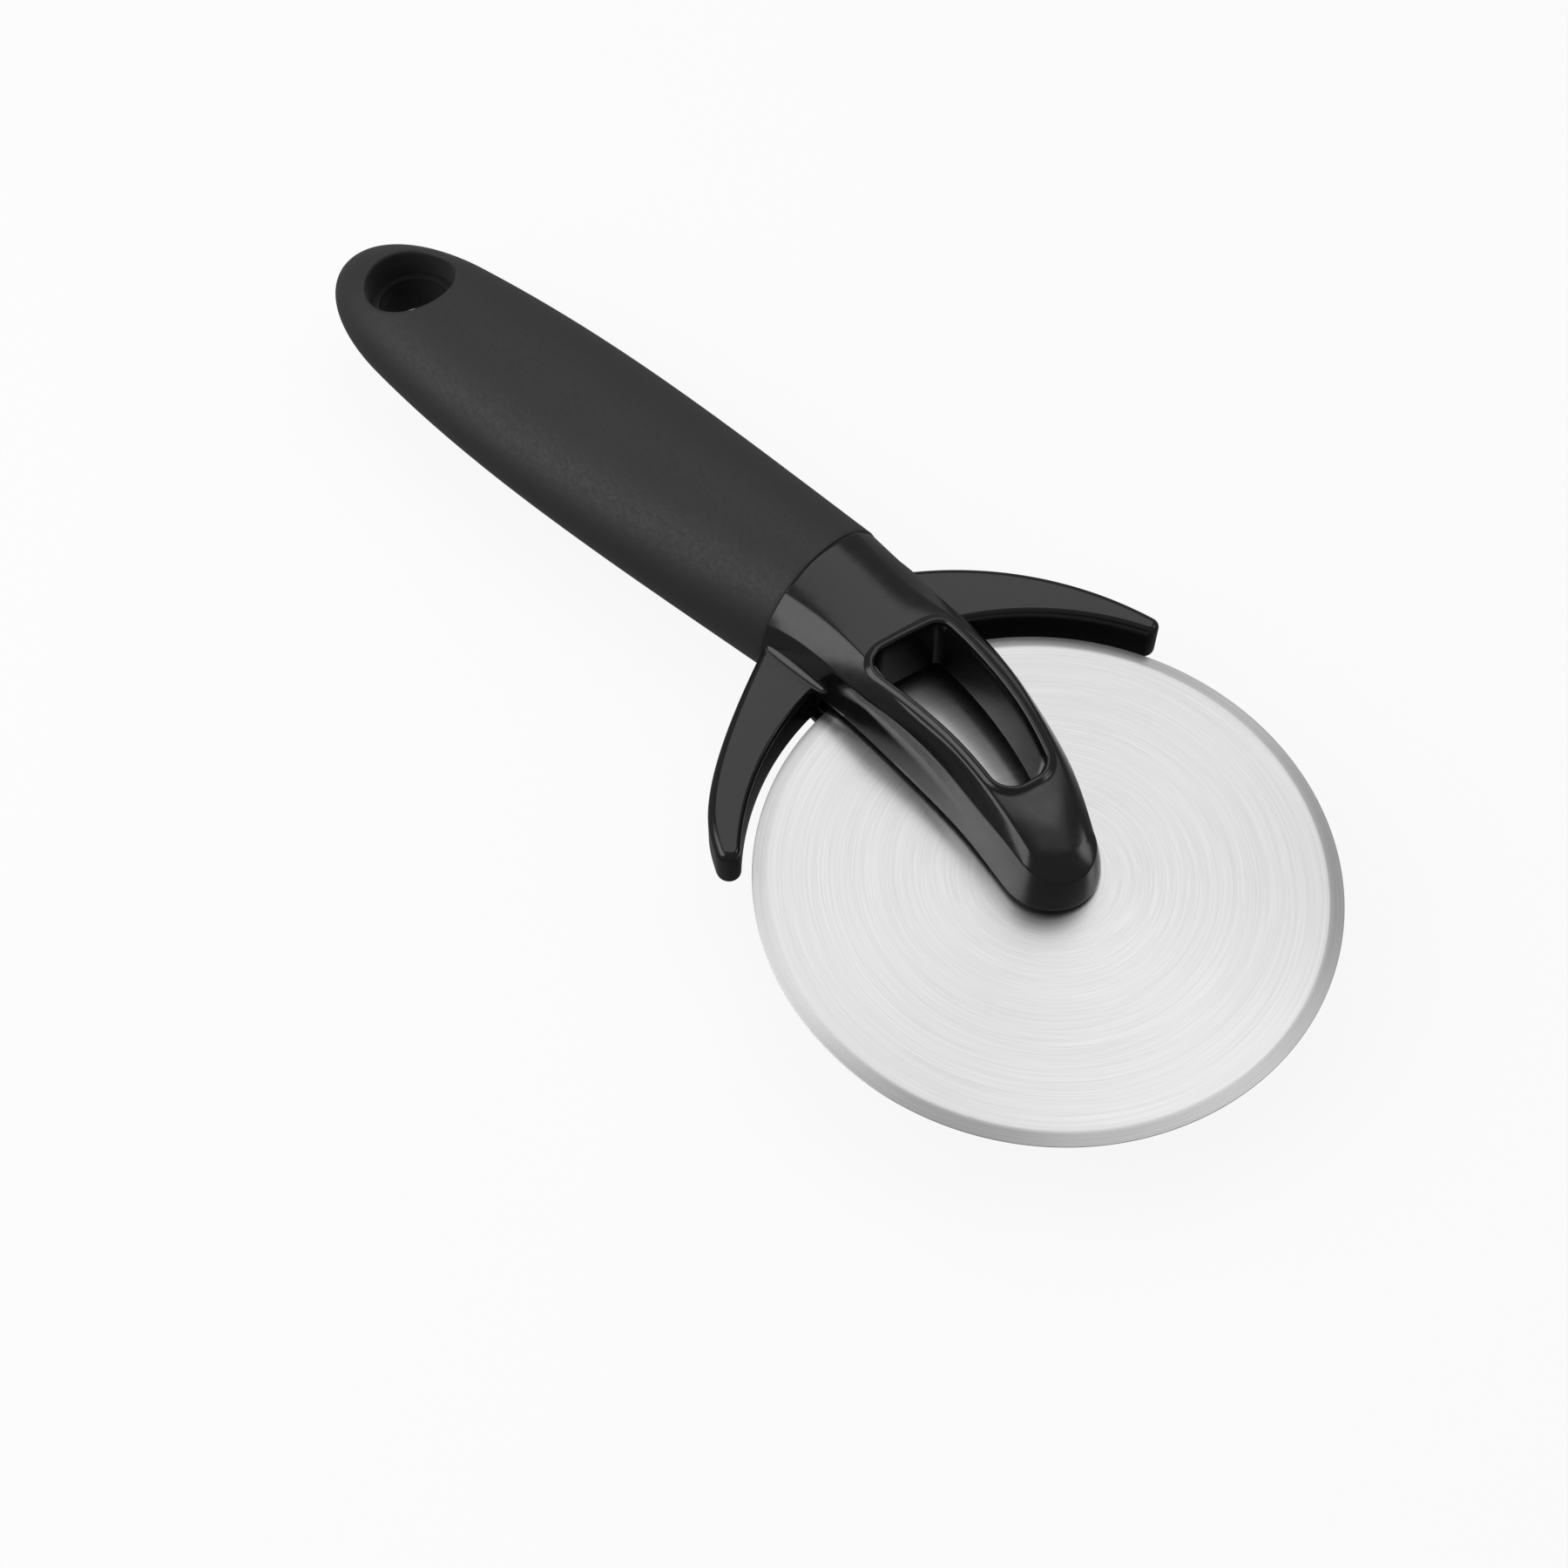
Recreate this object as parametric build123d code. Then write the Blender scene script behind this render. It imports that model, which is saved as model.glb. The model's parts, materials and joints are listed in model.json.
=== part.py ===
"""Pizza cutter wheel: a bladed disc turning between the two arms of a guarded fork,
on a soft-grip handle that leans sideways in the plane of the wheel.

Modelling frame: origin at the middle of the wheel, X along the fork towards the nose,
Z along the axle. At the end every piece is moved together, so that the finished part
lies flat with its origin at the bottom centre of its own box.
"""
from math import cos, radians, sin, sqrt
import os

from build123d import *

# Whole tool
wheel_diameter = 90.0
overall_length = 221.0         # front of the wheel to the far end of the handle
cut_overrun = 2.0              # how far a cutting shape runs past the face that it leaves
fixed_gap = 0.05               # round a piece that stays put, each side
head_gap = 0.2                 # round a screw head in its counterbore
grip_seam_gap = 0.3            # open groove between the grip and the fork collar
quarter_turn = 90.0            # degrees

# Wheel
blade_thickness = 1.0
bevel_width = 2.3              # ground land at the rim, seen as a darker ring
edge_thickness = 0.16
blade_bore_radius = 4.0

# Hub, axle and washers
hub_flange_radius = 5.6
hub_flange_height = 0.6
running_gap = 0.05             # radial, hub on the axle sleeve
end_float = 0.2                # along the axle, each side of the hub
sleeve_radius = 2.5
washer_thickness = 0.5
washer_radius = 5.3
axle_screw_radius = 1.5
axle_head_radius = 2.7
axle_head_height = 1.8
axle_drive_radius = 1.2
axle_drive_depth = 1.0
drive_sides = 6
insert_radius = 2.3
insert_length = 5.6
screw_end_room = 0.5           # free length past a screw's tip
cap_thickness = 1.8
cap_recess = 1.5               # cap face below the crown of the lower arm
cap_gap = 0.7                  # between the cap and the screw head

# Fork arms, measured on the upper arm and mirrored for the lower one
arm_reach = 62.0               # axle to the grip seam, along X
seam_offset = -1.6             # Y of the handle axis where it meets the seam
collar_aside = 0.9             # middle of the collar's end face, to the right of that axis
arm_height = 14.0              # deck of the arm above the middle of the wheel
slot_half_height = 1.5         # edge of the arm's skirt above the middle of the wheel
relief_height = 4.0            # roof of the hollow under the arm
skirt_wall = 1.9
guard_clearance = 2.3          # wheel rim to the finger guard
nose_radius = 8.2
nose_back = 0.4                # the round nose's middle, behind the axle
nose_aside = 0.5               # and to its left
collar_half_width = 15.0

# Window in each arm, at the height of the deck
window_back = 40.6             # behind the axle
window_front = 9.4
window_back_left = 8.0
window_back_right = 6.9
window_middle_left = 3.95      # half way along each side edge
window_middle_right = 8.0
window_front_left = 2.5
window_front_right = 5.9
window_back_left_corner = 3.0
window_back_right_corner = 2.0
window_front_corner = 3.7
window_taper_degrees = 4.0
window_lip_width = 1.1
window_lip_height = 0.45

# Finger guards
guard_half_thickness = 4.0
guard_tip_left_radius = 2.0
guard_tip_right_radius = 1.7
guard_tip_degrees = 125.0          # round the wheel from the nose
guard_heel_degrees = 163.0
guard_root_left = (0.755, 14.2)    # where the outer edge leaves the collar: share of the
guard_root_right = (0.735, 12.3)   # way from the inner edge to the seam, and Y
guard_edge_left_degrees = (18.4, 11.0)     # turn of the outer edge at the tip, from the tip's
guard_edge_right_degrees = (12.4, 22.0)    # own bearing, and at the root, from the chord
guard_edge_left_shares = (0.112, 0.781)    # length of its handles there, of the chord
guard_edge_right_shares = (0.345, 0.345)
guard_edge_round = 1.2

# Handle
handle_yaw_degrees = 15.8      # lean of the handle in the plane of the wheel
handle_width = 33.2            # at the belly
handle_thickness = 27.2        # at the seam, from where it thins towards the end
handle_tip_length = 20.5       # the round end
hole_from_end = 17.0
hang_hole_radius = 6.4         # in the rigid web
grip_hole_radius = 7.6         # in the soft grip above and below the web
hole_web_thickness = 3.0
hole_lining = 1.5              # soft lining round the hole
grip_wall = 2.6

# Tang that carries the handle
tang_short_of_hole = 26.3      # from the tang's end to the middle of the hanging hole
tang_width = 15.0
tang_thickness = 9.0
tang_root = 3.0                # sunk into the collar
pin_radius = 1.6
pin_end_gap = 0.4              # under the skin of the core

# Screws that close the fork halves
fork_screw_radius = 1.2
fork_head_radius = 2.3
fork_head_height = 1.6
fork_head_level = 5.2          # underside of the head below the parting plane
fork_screw_reach = 7.0         # tip above the parting plane
fork_screw_spread = 7.4        # each side of the handle's axis
fork_drive_radius = 1.0
fork_drive_depth = 0.8

# Stations of the upper arm from the seam side towards the nose. Each row is a place
# along the arm as a share of arm_reach, then the drift of the middle line and the half
# widths at the skirt, the shoulder and the deck edge as shares of collar_half_width,
# then the heights of the shoulder, the deck edge and the crown as shares of arm_height.
station_shares = [
    (-0.820, -0.048, 0.925, 0.777, 0.509, 0.640, 0.877, 0.971),
    (-0.660, 0.053, 0.832, 0.757, 0.537, 0.687, 0.953, 1.000),
    (-0.480, 0.136, 0.791, 0.692, 0.588, 0.744, 0.949, 0.995),
    (-0.320, 0.169, 0.737, 0.621, 0.503, 0.709, 0.951, 0.986),
    (-0.160, 0.138, 0.649, 0.555, 0.426, 0.662, 0.876, 0.913),
    (0.000, 0.040, 0.557, 0.433, 0.327, 0.639, 0.753, 0.796),
    (0.150, -0.030, 0.453, 0.323, 0.205, 0.330, 0.471, 0.500),
]
seam_shares = (0.973, 0.847, 0.580, 0.536, 0.843, 0.993)
wall_bulge_share = 0.02        # swell of each wall, of its own chord
seam_bulge_share = 0.06
nose_draft_share = 0.22        # sideways lean of the nose wall for each unit of height

# Handle outline: Bezier values from the seam to the round end as shares of half the
# width and of half the thickness, then those of the round end as shares of its own
# length and width
width_shares = (0.861, 0.982, 1.119, 0.845)
thickness_shares = (1.000, 0.853, 0.745, 0.676)
handle_sections = 6
tip_reach_share = 0.553
tip_width_shares = (0.884, 0.520)

wheel_radius = wheel_diameter / 2
guard_inner_radius = wheel_radius + guard_clearance
half_blade = blade_thickness / 2
hub_half_height = half_blade + hub_flange_height
washer_level = hub_half_height + end_float
boss_level = washer_level + washer_thickness
washer_bore_radius = sleeve_radius + fixed_gap
boss_radius = washer_radius + head_gap
nose_crown = next(row[-1] for row in station_shares if row[0] == 0) * arm_height
cap_level = nose_crown - cap_recess
axle_head_level = cap_level - cap_thickness - cap_gap - axle_head_height
axle_well_radius = axle_head_radius + head_gap
fork_well_radius = fork_head_radius + head_gap
half_web = hole_web_thickness / 2
half_tang = tang_thickness / 2
collar_run = arm_reach - guard_inner_radius
fork_screw_from_seam = collar_run / 2

# The handle runs from the seam away from the wheel. Its far end lies one overall
# length, less the wheel's radius, from the axle.
yaw = radians(handle_yaw_degrees)
handle_axis = Vector(-cos(yaw), -sin(yaw), 0)
across_axis = Vector(-sin(yaw), cos(yaw), 0)
seam_point = Vector(-arm_reach, seam_offset, 0)
seam_along = seam_point.dot(handle_axis)
far_reach = overall_length - wheel_radius
handle_length = sqrt(seam_along ** 2 + far_reach ** 2 - seam_point.dot(seam_point)) - seam_along
handle_place = Location(Plane(origin=seam_point, x_dir=handle_axis, z_dir=(0, 0, 1)))
hole_from_seam = handle_length - hole_from_end
tip_from_seam = handle_length - handle_tip_length
tang_length = hole_from_seam - tang_short_of_hole
pin_from_seam = tang_length / 2

pieces = {}


def upright(radius, low, high, x=0.0, y=0.0):
    """Cylinder along Z between two levels."""
    align = (Align.CENTER, Align.CENTER, Align.MIN)
    return Pos(x, y, low) * Cylinder(radius, high - low, align=align)


def ring(outer, inner, low, high):
    """Washer shape along Z between two levels."""
    return upright(outer, low, high) - upright(inner, low - cut_overrun, high + cut_overrun)


# Fork

def bulged(start, end, share):
    """Arc from start to end that swells to the right of its direction."""
    run = Vector(*end) - Vector(*start)
    middle = (Vector(*start) + Vector(*end)) * 0.5 + Vector(run.Y, -run.X, 0) * share
    return ThreePointArc(start, (middle.X, middle.Y), end)


def arm_section(plane, widths, heights, bulge_share):
    """Closed outline of the upper arm in a standing plane, flat on the parting plane."""
    skirt, shoulder, deck = widths
    shoulder_up, deck_up, crown = heights
    right = [(skirt, 0), (shoulder, shoulder_up), (deck, deck_up)]
    left = [(-across, up) for across, up in reversed(right)]
    edges = [
        Line(left[-1], right[0]),
        bulged(right[0], right[1], bulge_share),
        bulged(right[1], right[2], bulge_share),
        ThreePointArc(right[2], (0, crown), left[0]),
        bulged(left[0], left[1], bulge_share),
        bulged(left[1], left[2], bulge_share),
    ]
    return plane * make_face(Curve() + edges)


def standing_plane(along, across=0.0):
    """Plane square to the arm."""
    return Plane(origin=(along, across, 0), x_dir=(0, 1, 0), z_dir=(1, 0, 0))


def arm_body(inset=0.0, lift=0.0):
    """Upper arm and collar as one skinned solid, narrowed by inset, raised by lift."""
    def widths_of(shares):
        return [share * collar_half_width - inset for share in shares]

    def heights_of(shares):
        return [share * arm_height + lift for share in shares]

    seam_face_point = seam_point - handle_axis * grip_seam_gap - across_axis * collar_aside
    seam_plane = Plane(origin=seam_face_point, x_dir=across_axis, z_dir=-handle_axis)
    sections = [arm_section(seam_plane, widths_of(seam_shares[:3]), heights_of(seam_shares[3:]),
                            seam_bulge_share)]
    for row in station_shares:
        plane = standing_plane(row[0] * arm_reach, row[1] * collar_half_width)
        sections.append(arm_section(plane, widths_of(row[2:5]), heights_of(row[5:]), wall_bulge_share))
    return loft(sections)


def nose_limit(inset=0.0):
    """Everything behind the axle, and a leaning round nose in front of it."""
    tall = arm_height + cut_overrun
    align = (Align.CENTER, Align.CENTER, Align.MIN)
    base_radius = nose_radius - inset
    nose = Cone(base_radius, base_radius - nose_draft_share * tall, tall, align=align)
    behind = Box(overall_length, overall_length, tall, align=(Align.MAX, Align.CENTER, Align.MIN))
    return Pos(-nose_back, nose_aside, 0) * (behind + nose)


def window_face(grow=0.0):
    """Plan of the window at deck level: a hollow left edge and a swelling right edge."""
    back = -window_back - grow
    front = -window_front + grow
    middle = (back + front) / 2
    back_left = (back, -window_back_left - grow)
    back_right = (back, window_back_right + grow)
    middle_left = (middle, -window_middle_left - grow)
    middle_right = (middle, window_middle_right + grow)
    front_right = (front, window_front_right + grow)
    front_left = (front, -window_front_left - grow)
    edges = [
        Line(back_left, back_right),
        ThreePointArc(back_right, middle_right, front_right),
        Line(front_right, front_left),
        ThreePointArc(front_left, middle_left, back_left),
    ]
    face = make_face(Curve() + edges)
    for place, radius in ((back_left, window_back_left_corner), (back_right, window_back_right_corner),
                          (front_left, window_front_corner), (front_right, window_front_corner)):
        at = Vector(*place)
        corner = face.vertices().sort_by(lambda vertex: (Vector(vertex) - at).length)[0]
        face = fillet(corner, radius + grow)
    return face


def window_plug():
    """Tapering plug that opens the window, widest at the deck."""
    plug = extrude(window_face(), -arm_height - cut_overrun, taper=window_taper_degrees)
    return Pos(0, 0, arm_height) * (plug + extrude(window_face(), cut_overrun))


def heading(degrees):
    """Plan direction at a bearing round the wheel from the nose."""
    return Vector(cos(radians(degrees)), sin(radians(degrees)), 0)


def guard(side):
    """Upper half of one finger guard; side is 1 or -1 across the tool."""
    right = side > 0
    tip_radius = guard_tip_right_radius if right else guard_tip_left_radius
    root_share, root_out = guard_root_right if right else guard_root_left
    lean, root_turn = guard_edge_right_degrees if right else guard_edge_left_degrees
    tip_share, hand_share = guard_edge_right_shares if right else guard_edge_left_shares
    tip = heading(guard_tip_degrees) * (guard_inner_radius + tip_radius)
    outer_tip = tip + heading(guard_tip_degrees - lean) * tip_radius
    front_tip = tip + heading(guard_tip_degrees - quarter_turn) * tip_radius
    inner_tip = heading(guard_tip_degrees) * guard_inner_radius
    root_back = guard_inner_radius + root_share * collar_run
    root = Vector(-root_back, root_out, 0)
    chord = outer_tip - root
    root_hand = root + chord.rotate(Axis.Z, root_turn) * hand_share
    tip_hand = outer_tip - heading(guard_tip_degrees - lean - quarter_turn) * chord.length * tip_share
    inner_middle = heading((guard_tip_degrees + guard_heel_degrees) / 2) * guard_inner_radius
    heel = heading(guard_heel_degrees) * guard_inner_radius
    inside = Vector(-root_back, 0, 0)
    outer = [(point.X, point.Y * side) for point in (root, root_hand, tip_hand, outer_tip)]
    inner = [(point.X, point.Y * side) for point in (front_tip, inner_tip, inner_middle, heel, inside)]
    edges = [
        Bezier(*outer),
        ThreePointArc(outer[-1], inner[0], inner[1]),
        ThreePointArc(inner[1], inner[2], inner[3]),
        Line(inner[3], inner[4]),
        Line(inner[4], outer[0]),
    ]
    blank = extrude(make_face(Curve() + edges), guard_half_thickness, dir=(0, 0, 1))
    top = blank.faces().sort_by(Axis.Z)[-1]
    rounded = [edge for edge in top.edges() if edge.geom_type != GeomType.LINE]
    return fillet(rounded, guard_edge_round)


def arm_relief():
    """Shallow hollow under the arm, inside its skirt and clear of the axle boss."""
    hollow = arm_body(inset=skirt_wall) & nose_limit(inset=skirt_wall)
    hollow &= upright(guard_inner_radius - skirt_wall, -cut_overrun, relief_height)
    return hollow - upright(boss_radius + skirt_wall, -cut_overrun, relief_height)


def tang_half():
    """Half of the tang, above the parting plane, in place."""
    align = (Align.MIN, Align.CENTER, Align.MIN)
    bar = Pos(-tang_root, 0, 0) * Box(tang_length + tang_root, tang_width, half_tang, align=align)
    return handle_place * bar


def fork_blank():
    """What the two fork halves share, drawn for the upper one."""
    blank = arm_body() & nose_limit()
    lip_plan = extrude(window_face(window_lip_width), arm_height + cut_overrun, dir=(0, 0, 1))
    blank += arm_body(lift=window_lip_height) & lip_plan
    for added in (guard(1), guard(-1), tang_half()):
        blank += added
    blank -= upright(guard_inner_radius, -cut_overrun, slot_half_height)
    blank -= window_plug()
    blank -= arm_relief()
    blank -= upright(boss_radius, -cut_overrun, boss_level)
    hole = upright(pin_radius + fixed_gap, -cut_overrun, arm_height)
    blank -= handle_place * (Pos(pin_from_seam, 0, 0) * hole)
    return blank


def fork_screw_places():
    """Plan position of each screw that closes the fork, half way from the slot to the seam."""
    middle = seam_point - handle_axis * fork_screw_from_seam
    places = [middle + across_axis * side * fork_screw_spread for side in (1, -1)]
    return [(place.X, place.Y) for place in places]


def make_fork():
    """Both halves of the fork, with their screw and axle holes."""
    blank = fork_blank()
    upper = blank - upright(insert_radius + fixed_gap, -cut_overrun, boss_level + insert_length)
    lower = mirror(blank, Plane.XY)
    lower -= upright(axle_screw_radius + fixed_gap, -arm_height, cut_overrun)
    lower -= upright(axle_well_radius, -arm_height - cut_overrun, -axle_head_level)
    for x, y in fork_screw_places():
        pilot = fork_screw_radius + fixed_gap
        upper -= upright(pilot, -cut_overrun, fork_screw_reach + screw_end_room, x, y)
        lower -= upright(pilot, -arm_height, cut_overrun, x, y)
        lower -= upright(fork_well_radius, -arm_height - cut_overrun, -fork_head_level, x, y)
    pieces["fork_upper"] = upper
    pieces["fork_lower"] = lower


def screw(shank_radius, head_radius, head_height, head_level, tip_level, drive_radius, drive_depth):
    """Screw driven from below: head under head_level, tip at tip_level."""
    shank = upright(shank_radius, head_level, tip_level)
    head = upright(head_radius, head_level - head_height, head_level)
    drive = extrude(RegularPolygon(drive_radius, drive_sides), drive_depth + cut_overrun)
    drive_bottom = head_level - head_height - cut_overrun
    return shank + head - Pos(0, 0, drive_bottom) * drive


def make_fork_screws():
    """Two equal screws in one node."""
    one = screw(fork_screw_radius, fork_head_radius, fork_head_height, -fork_head_level,
                fork_screw_reach, fork_drive_radius, fork_drive_depth)
    pieces["fork_screws"] = Compound([Pos(x, y, 0) * one for x, y in fork_screw_places()])


# Wheel, hub and axle

def make_blade():
    """Steel disc with a land ground on both sides of its rim."""
    land_start = wheel_radius - bevel_width
    half_edge = edge_thickness / 2
    profile = Polyline((blade_bore_radius, -half_blade), (land_start, -half_blade),
                       (wheel_radius, -half_edge), (wheel_radius, half_edge),
                       (land_start, half_blade), (blade_bore_radius, half_blade), close=True)
    pieces["blade_wheel"] = revolve(Plane.XZ * make_face(profile), Axis.Z)


def make_hub():
    """Flanged hub moulded through the bore of the disc."""
    hub = upright(blade_bore_radius, -hub_half_height, hub_half_height)
    hub += upright(hub_flange_radius, half_blade, hub_half_height)
    hub += upright(hub_flange_radius, -hub_half_height, -half_blade)
    reach = hub_half_height + cut_overrun
    pieces["hub_bush"] = hub - upright(sleeve_radius + running_gap, -reach, reach)


def make_axle():
    """Sleeve, washers, screw, threaded insert and cover cap on the axle line."""
    bore = axle_screw_radius + fixed_gap
    pieces["axle_sleeve"] = ring(sleeve_radius, bore, -boss_level, boss_level)
    pieces["thrust_washer_upper"] = ring(washer_radius, washer_bore_radius, washer_level, boss_level)
    pieces["thrust_washer_lower"] = ring(washer_radius, washer_bore_radius, -boss_level, -washer_level)
    insert_top = boss_level + insert_length
    pieces["axle_insert"] = ring(insert_radius, bore, boss_level, insert_top)
    pieces["axle_screw"] = screw(axle_screw_radius, axle_head_radius, axle_head_height,
                                 -axle_head_level, insert_top - screw_end_room,
                                 axle_drive_radius, axle_drive_depth)
    cap_radius = axle_well_radius - fixed_gap
    pieces["axle_cap"] = upright(cap_radius, -cap_level, cap_thickness - cap_level)


# Handle, drawn along X from the seam and put in place at the end

def handle_halves(share):
    """Half width and half thickness of the handle, part of the way from the seam to the round end."""
    weights = [(1 - share) ** 3, 3 * share * (1 - share) ** 2, 3 * share ** 2 * (1 - share), share ** 3]
    width = sum(weight * value for weight, value in zip(weights, width_shares))
    thickness = sum(weight * value for weight, value in zip(weights, thickness_shares))
    return width * handle_width / 2, thickness * handle_thickness / 2


def handle_blank(inset=0.0):
    """Solid of the handle: oval sections up to the round end, which is turned and flattened."""
    sections = []
    for number in range(handle_sections):
        share = number / (handle_sections - 1)
        half_width, half_thickness = handle_halves(share)
        plane = Plane(origin=(share * tip_from_seam, 0, 0), x_dir=(0, 1, 0), z_dir=(1, 0, 0))
        sections.append(plane * Ellipse(half_width - inset, half_thickness - inset))
    tip_length = handle_tip_length - inset
    tip_reach = tip_reach_share * tip_length
    half_width, half_thickness = (half - inset for half in handle_halves(1))
    outline = Bezier((0, half_width), (tip_reach, tip_width_shares[0] * half_width),
                     (tip_length, tip_width_shares[1] * half_width), (tip_length, 0))
    face = make_face(Curve() + [Line((0, 0), (0, half_width)), outline, Line((tip_length, 0), (0, 0))])
    tip = scale(revolve(face, Axis.X), by=(1, 1, half_thickness / half_width))
    return loft(sections) + Pos(tip_from_seam, 0, 0) * tip


def make_handle():
    """Rigid core with its web and tang socket, and the soft grip over it."""
    reach = handle_thickness
    core_skin = handle_blank(inset=grip_wall)
    lining_radius = grip_hole_radius + hole_lining
    for low, high in ((half_web, reach), (-reach, -half_web)):
        core_skin -= upright(lining_radius, low, high, hole_from_seam)
    grip = handle_blank() - core_skin
    grip -= upright(grip_hole_radius, -reach, reach, hole_from_seam)
    align = (Align.MIN, Align.CENTER, Align.CENTER)
    socket = Box(tang_length + cut_overrun + fixed_gap, tang_width + 2 * fixed_gap,
                 tang_thickness + 2 * fixed_gap, align=align)
    core = core_skin - Pos(-cut_overrun, 0, 0) * socket
    core -= upright(hang_hole_radius, -reach, reach, hole_from_seam)
    pin_reach = handle_halves(pin_from_seam / tip_from_seam)[1] - grip_wall - pin_end_gap
    core -= upright(pin_radius + fixed_gap, -pin_reach, pin_reach, pin_from_seam)
    pin = upright(pin_radius, -pin_reach, pin_reach, pin_from_seam)
    pieces["handle_core"] = handle_place * core
    pieces["soft_grip"] = handle_place * grip
    pieces["tang_pin"] = handle_place * pin


def put_on_bench():
    """Move every piece so that the origin is the bottom centre of the whole box."""
    box = Compound(list(pieces.values())).bounding_box()
    shift = Vector(-box.center().X, -box.center().Y, -box.min.Z)
    for name in pieces:
        pieces[name] = Pos(*shift) * pieces[name]
    return shift


make_blade()
make_hub()
make_axle()
make_fork()
make_fork_screws()
make_handle()
shift = put_on_bench()
hole = seam_point + handle_axis * hole_from_seam + shift
print("axle at", [round(value, 3) for value in shift])
print("hang hole at", [round(value, 3) for value in hole])
print("handle length", round(handle_length, 3))

os.makedirs("parts", exist_ok=True)
for name, piece in pieces.items():
    export_step(piece, f"parts/{name}.step")
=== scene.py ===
"""Looks of the pizza cutter wheel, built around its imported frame.

Shapes are worked out in millimetres with the origin at the middle of the wheel, X along the
fork towards the nose and Z up the axle, and are placed in the frame's metres at the end.
"""

import json
from math import cos, pi, radians, sin, sqrt, tan

import bmesh
import bpy
import numpy as np
from mathutils import Matrix, Vector


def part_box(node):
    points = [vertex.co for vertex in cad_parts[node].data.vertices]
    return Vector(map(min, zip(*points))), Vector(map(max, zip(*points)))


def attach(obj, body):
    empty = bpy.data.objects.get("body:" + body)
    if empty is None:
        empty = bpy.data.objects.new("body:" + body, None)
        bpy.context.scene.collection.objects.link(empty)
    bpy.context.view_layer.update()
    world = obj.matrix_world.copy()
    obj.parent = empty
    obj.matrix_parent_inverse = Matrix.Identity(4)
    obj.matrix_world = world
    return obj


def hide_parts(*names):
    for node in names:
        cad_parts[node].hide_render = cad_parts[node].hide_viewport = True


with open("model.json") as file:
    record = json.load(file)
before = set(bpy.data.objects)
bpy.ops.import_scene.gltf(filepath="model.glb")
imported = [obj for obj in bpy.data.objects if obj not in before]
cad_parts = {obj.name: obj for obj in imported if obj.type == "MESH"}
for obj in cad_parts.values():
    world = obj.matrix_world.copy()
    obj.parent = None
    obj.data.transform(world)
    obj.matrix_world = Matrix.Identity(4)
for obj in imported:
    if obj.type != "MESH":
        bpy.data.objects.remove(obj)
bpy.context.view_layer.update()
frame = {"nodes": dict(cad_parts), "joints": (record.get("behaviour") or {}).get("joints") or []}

# Where the wheel sits in the frame
mm = 0.001
near_zero = 1e-6
merge_reach = 0.002            # points closer than this become one
flat_reach = 0.0005            # edges shorter than this go
smooth_degrees = 32.0          # faces that meet at less than this are shaded as one
axle = np.array(frame["joints"][0]["pos_m"]) / mm

# Wheel
wheel_radius = (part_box("blade_wheel")[1].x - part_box("blade_wheel")[0].x) / 2 / mm
blade_half_thickness = (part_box("blade_wheel")[1].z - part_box("blade_wheel")[0].z) / 2 / mm
bevel_width = 2.3
edge_half_thickness = 0.08
blade_bore_radius = 4.0
blade_edge_round = 0.12
blade_first_ring = 1.0         # of the flat face, out from the bore
blade_last_ring = 0.6          # and in from the land's start
blade_face_rings = 14
land_start_round = 0.1
bevel_first_ring = 0.5         # of the land, out from its start
bevel_last_ring = 0.06         # and in from the rim
bevel_rings = 4
rim_share = 0.5                # thickness left at the very rim
blade_steps = 360
blade_smooth_degrees = 8.0

# Fork arm, the same sizes as its solid
arm_reach = 62.0
seam_offset = -1.6
collar_aside = 0.9
arm_height = 14.0
slot_half_height = 1.5
collar_half_width = 15.0
nose_radius = 8.2
nose_middle = (-0.4, 0.5)
slot_radius = 47.3
station_shares = [
    (-0.820, -0.048, 0.925, 0.777, 0.509, 0.640, 0.877, 0.971),
    (-0.660, 0.053, 0.832, 0.757, 0.537, 0.687, 0.953, 1.000),
    (-0.480, 0.136, 0.791, 0.692, 0.588, 0.744, 0.949, 0.995),
    (-0.320, 0.169, 0.737, 0.621, 0.503, 0.709, 0.951, 0.986),
    (-0.160, 0.138, 0.649, 0.555, 0.426, 0.662, 0.876, 0.913),
    (0.000, 0.040, 0.557, 0.433, 0.327, 0.639, 0.753, 0.796),
    (0.150, -0.030, 0.453, 0.323, 0.205, 0.330, 0.471, 0.500),
]
seam_shares = (0.973, 0.847, 0.580, 0.536, 0.843, 0.993)
wall_bulge_share = 0.02
seam_gap = 0.3
nose_turn_left = 90.0          # where the flanks hand over to the round nose, degrees
nose_turn_right = 75.0
nose_deck_radius = 3.5         # edge of the deck at the front of the nose
nose_shoulder_radius = 7.0     # its shoulder there, which also sinks a little
nose_shoulder_drop = 1.0
nose_turn_search = (-3.0, 4.0, 281)      # reach along the arm where that place is looked for
junction_share = 0.965         # how much of the collar's half width the open arm has at its root
underside_share = 0.9985       # keeps the underside's inner step off its outer one
seam_round = 0.25              # of the collar's end at the seam, along the arm
seam_round_share = 0.018       # and inwards

# Edges of the arm
deck_edge_reach = 0.55
shoulder_reach = 0.36
skirt_reach = 0.22
flank_groove_depth = 1.5       # moulded hollow under the shoulder
flank_groove_back = -47.0      # at the guard
flank_groove_deepest = -37.0
flank_groove_front = -4.0
flank_groove_share = 0.4       # its valley, down the wall from the shoulder
flank_groove_power = 0.8       # how it starts under the shoulder
flank_groove_rise = 1.35       # how steeply it comes out at the foot
edge_rows = 5                  # rings round the deck's edge, on the facet and round the shoulder
foot_rows = 3
wall_rows = 18

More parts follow.
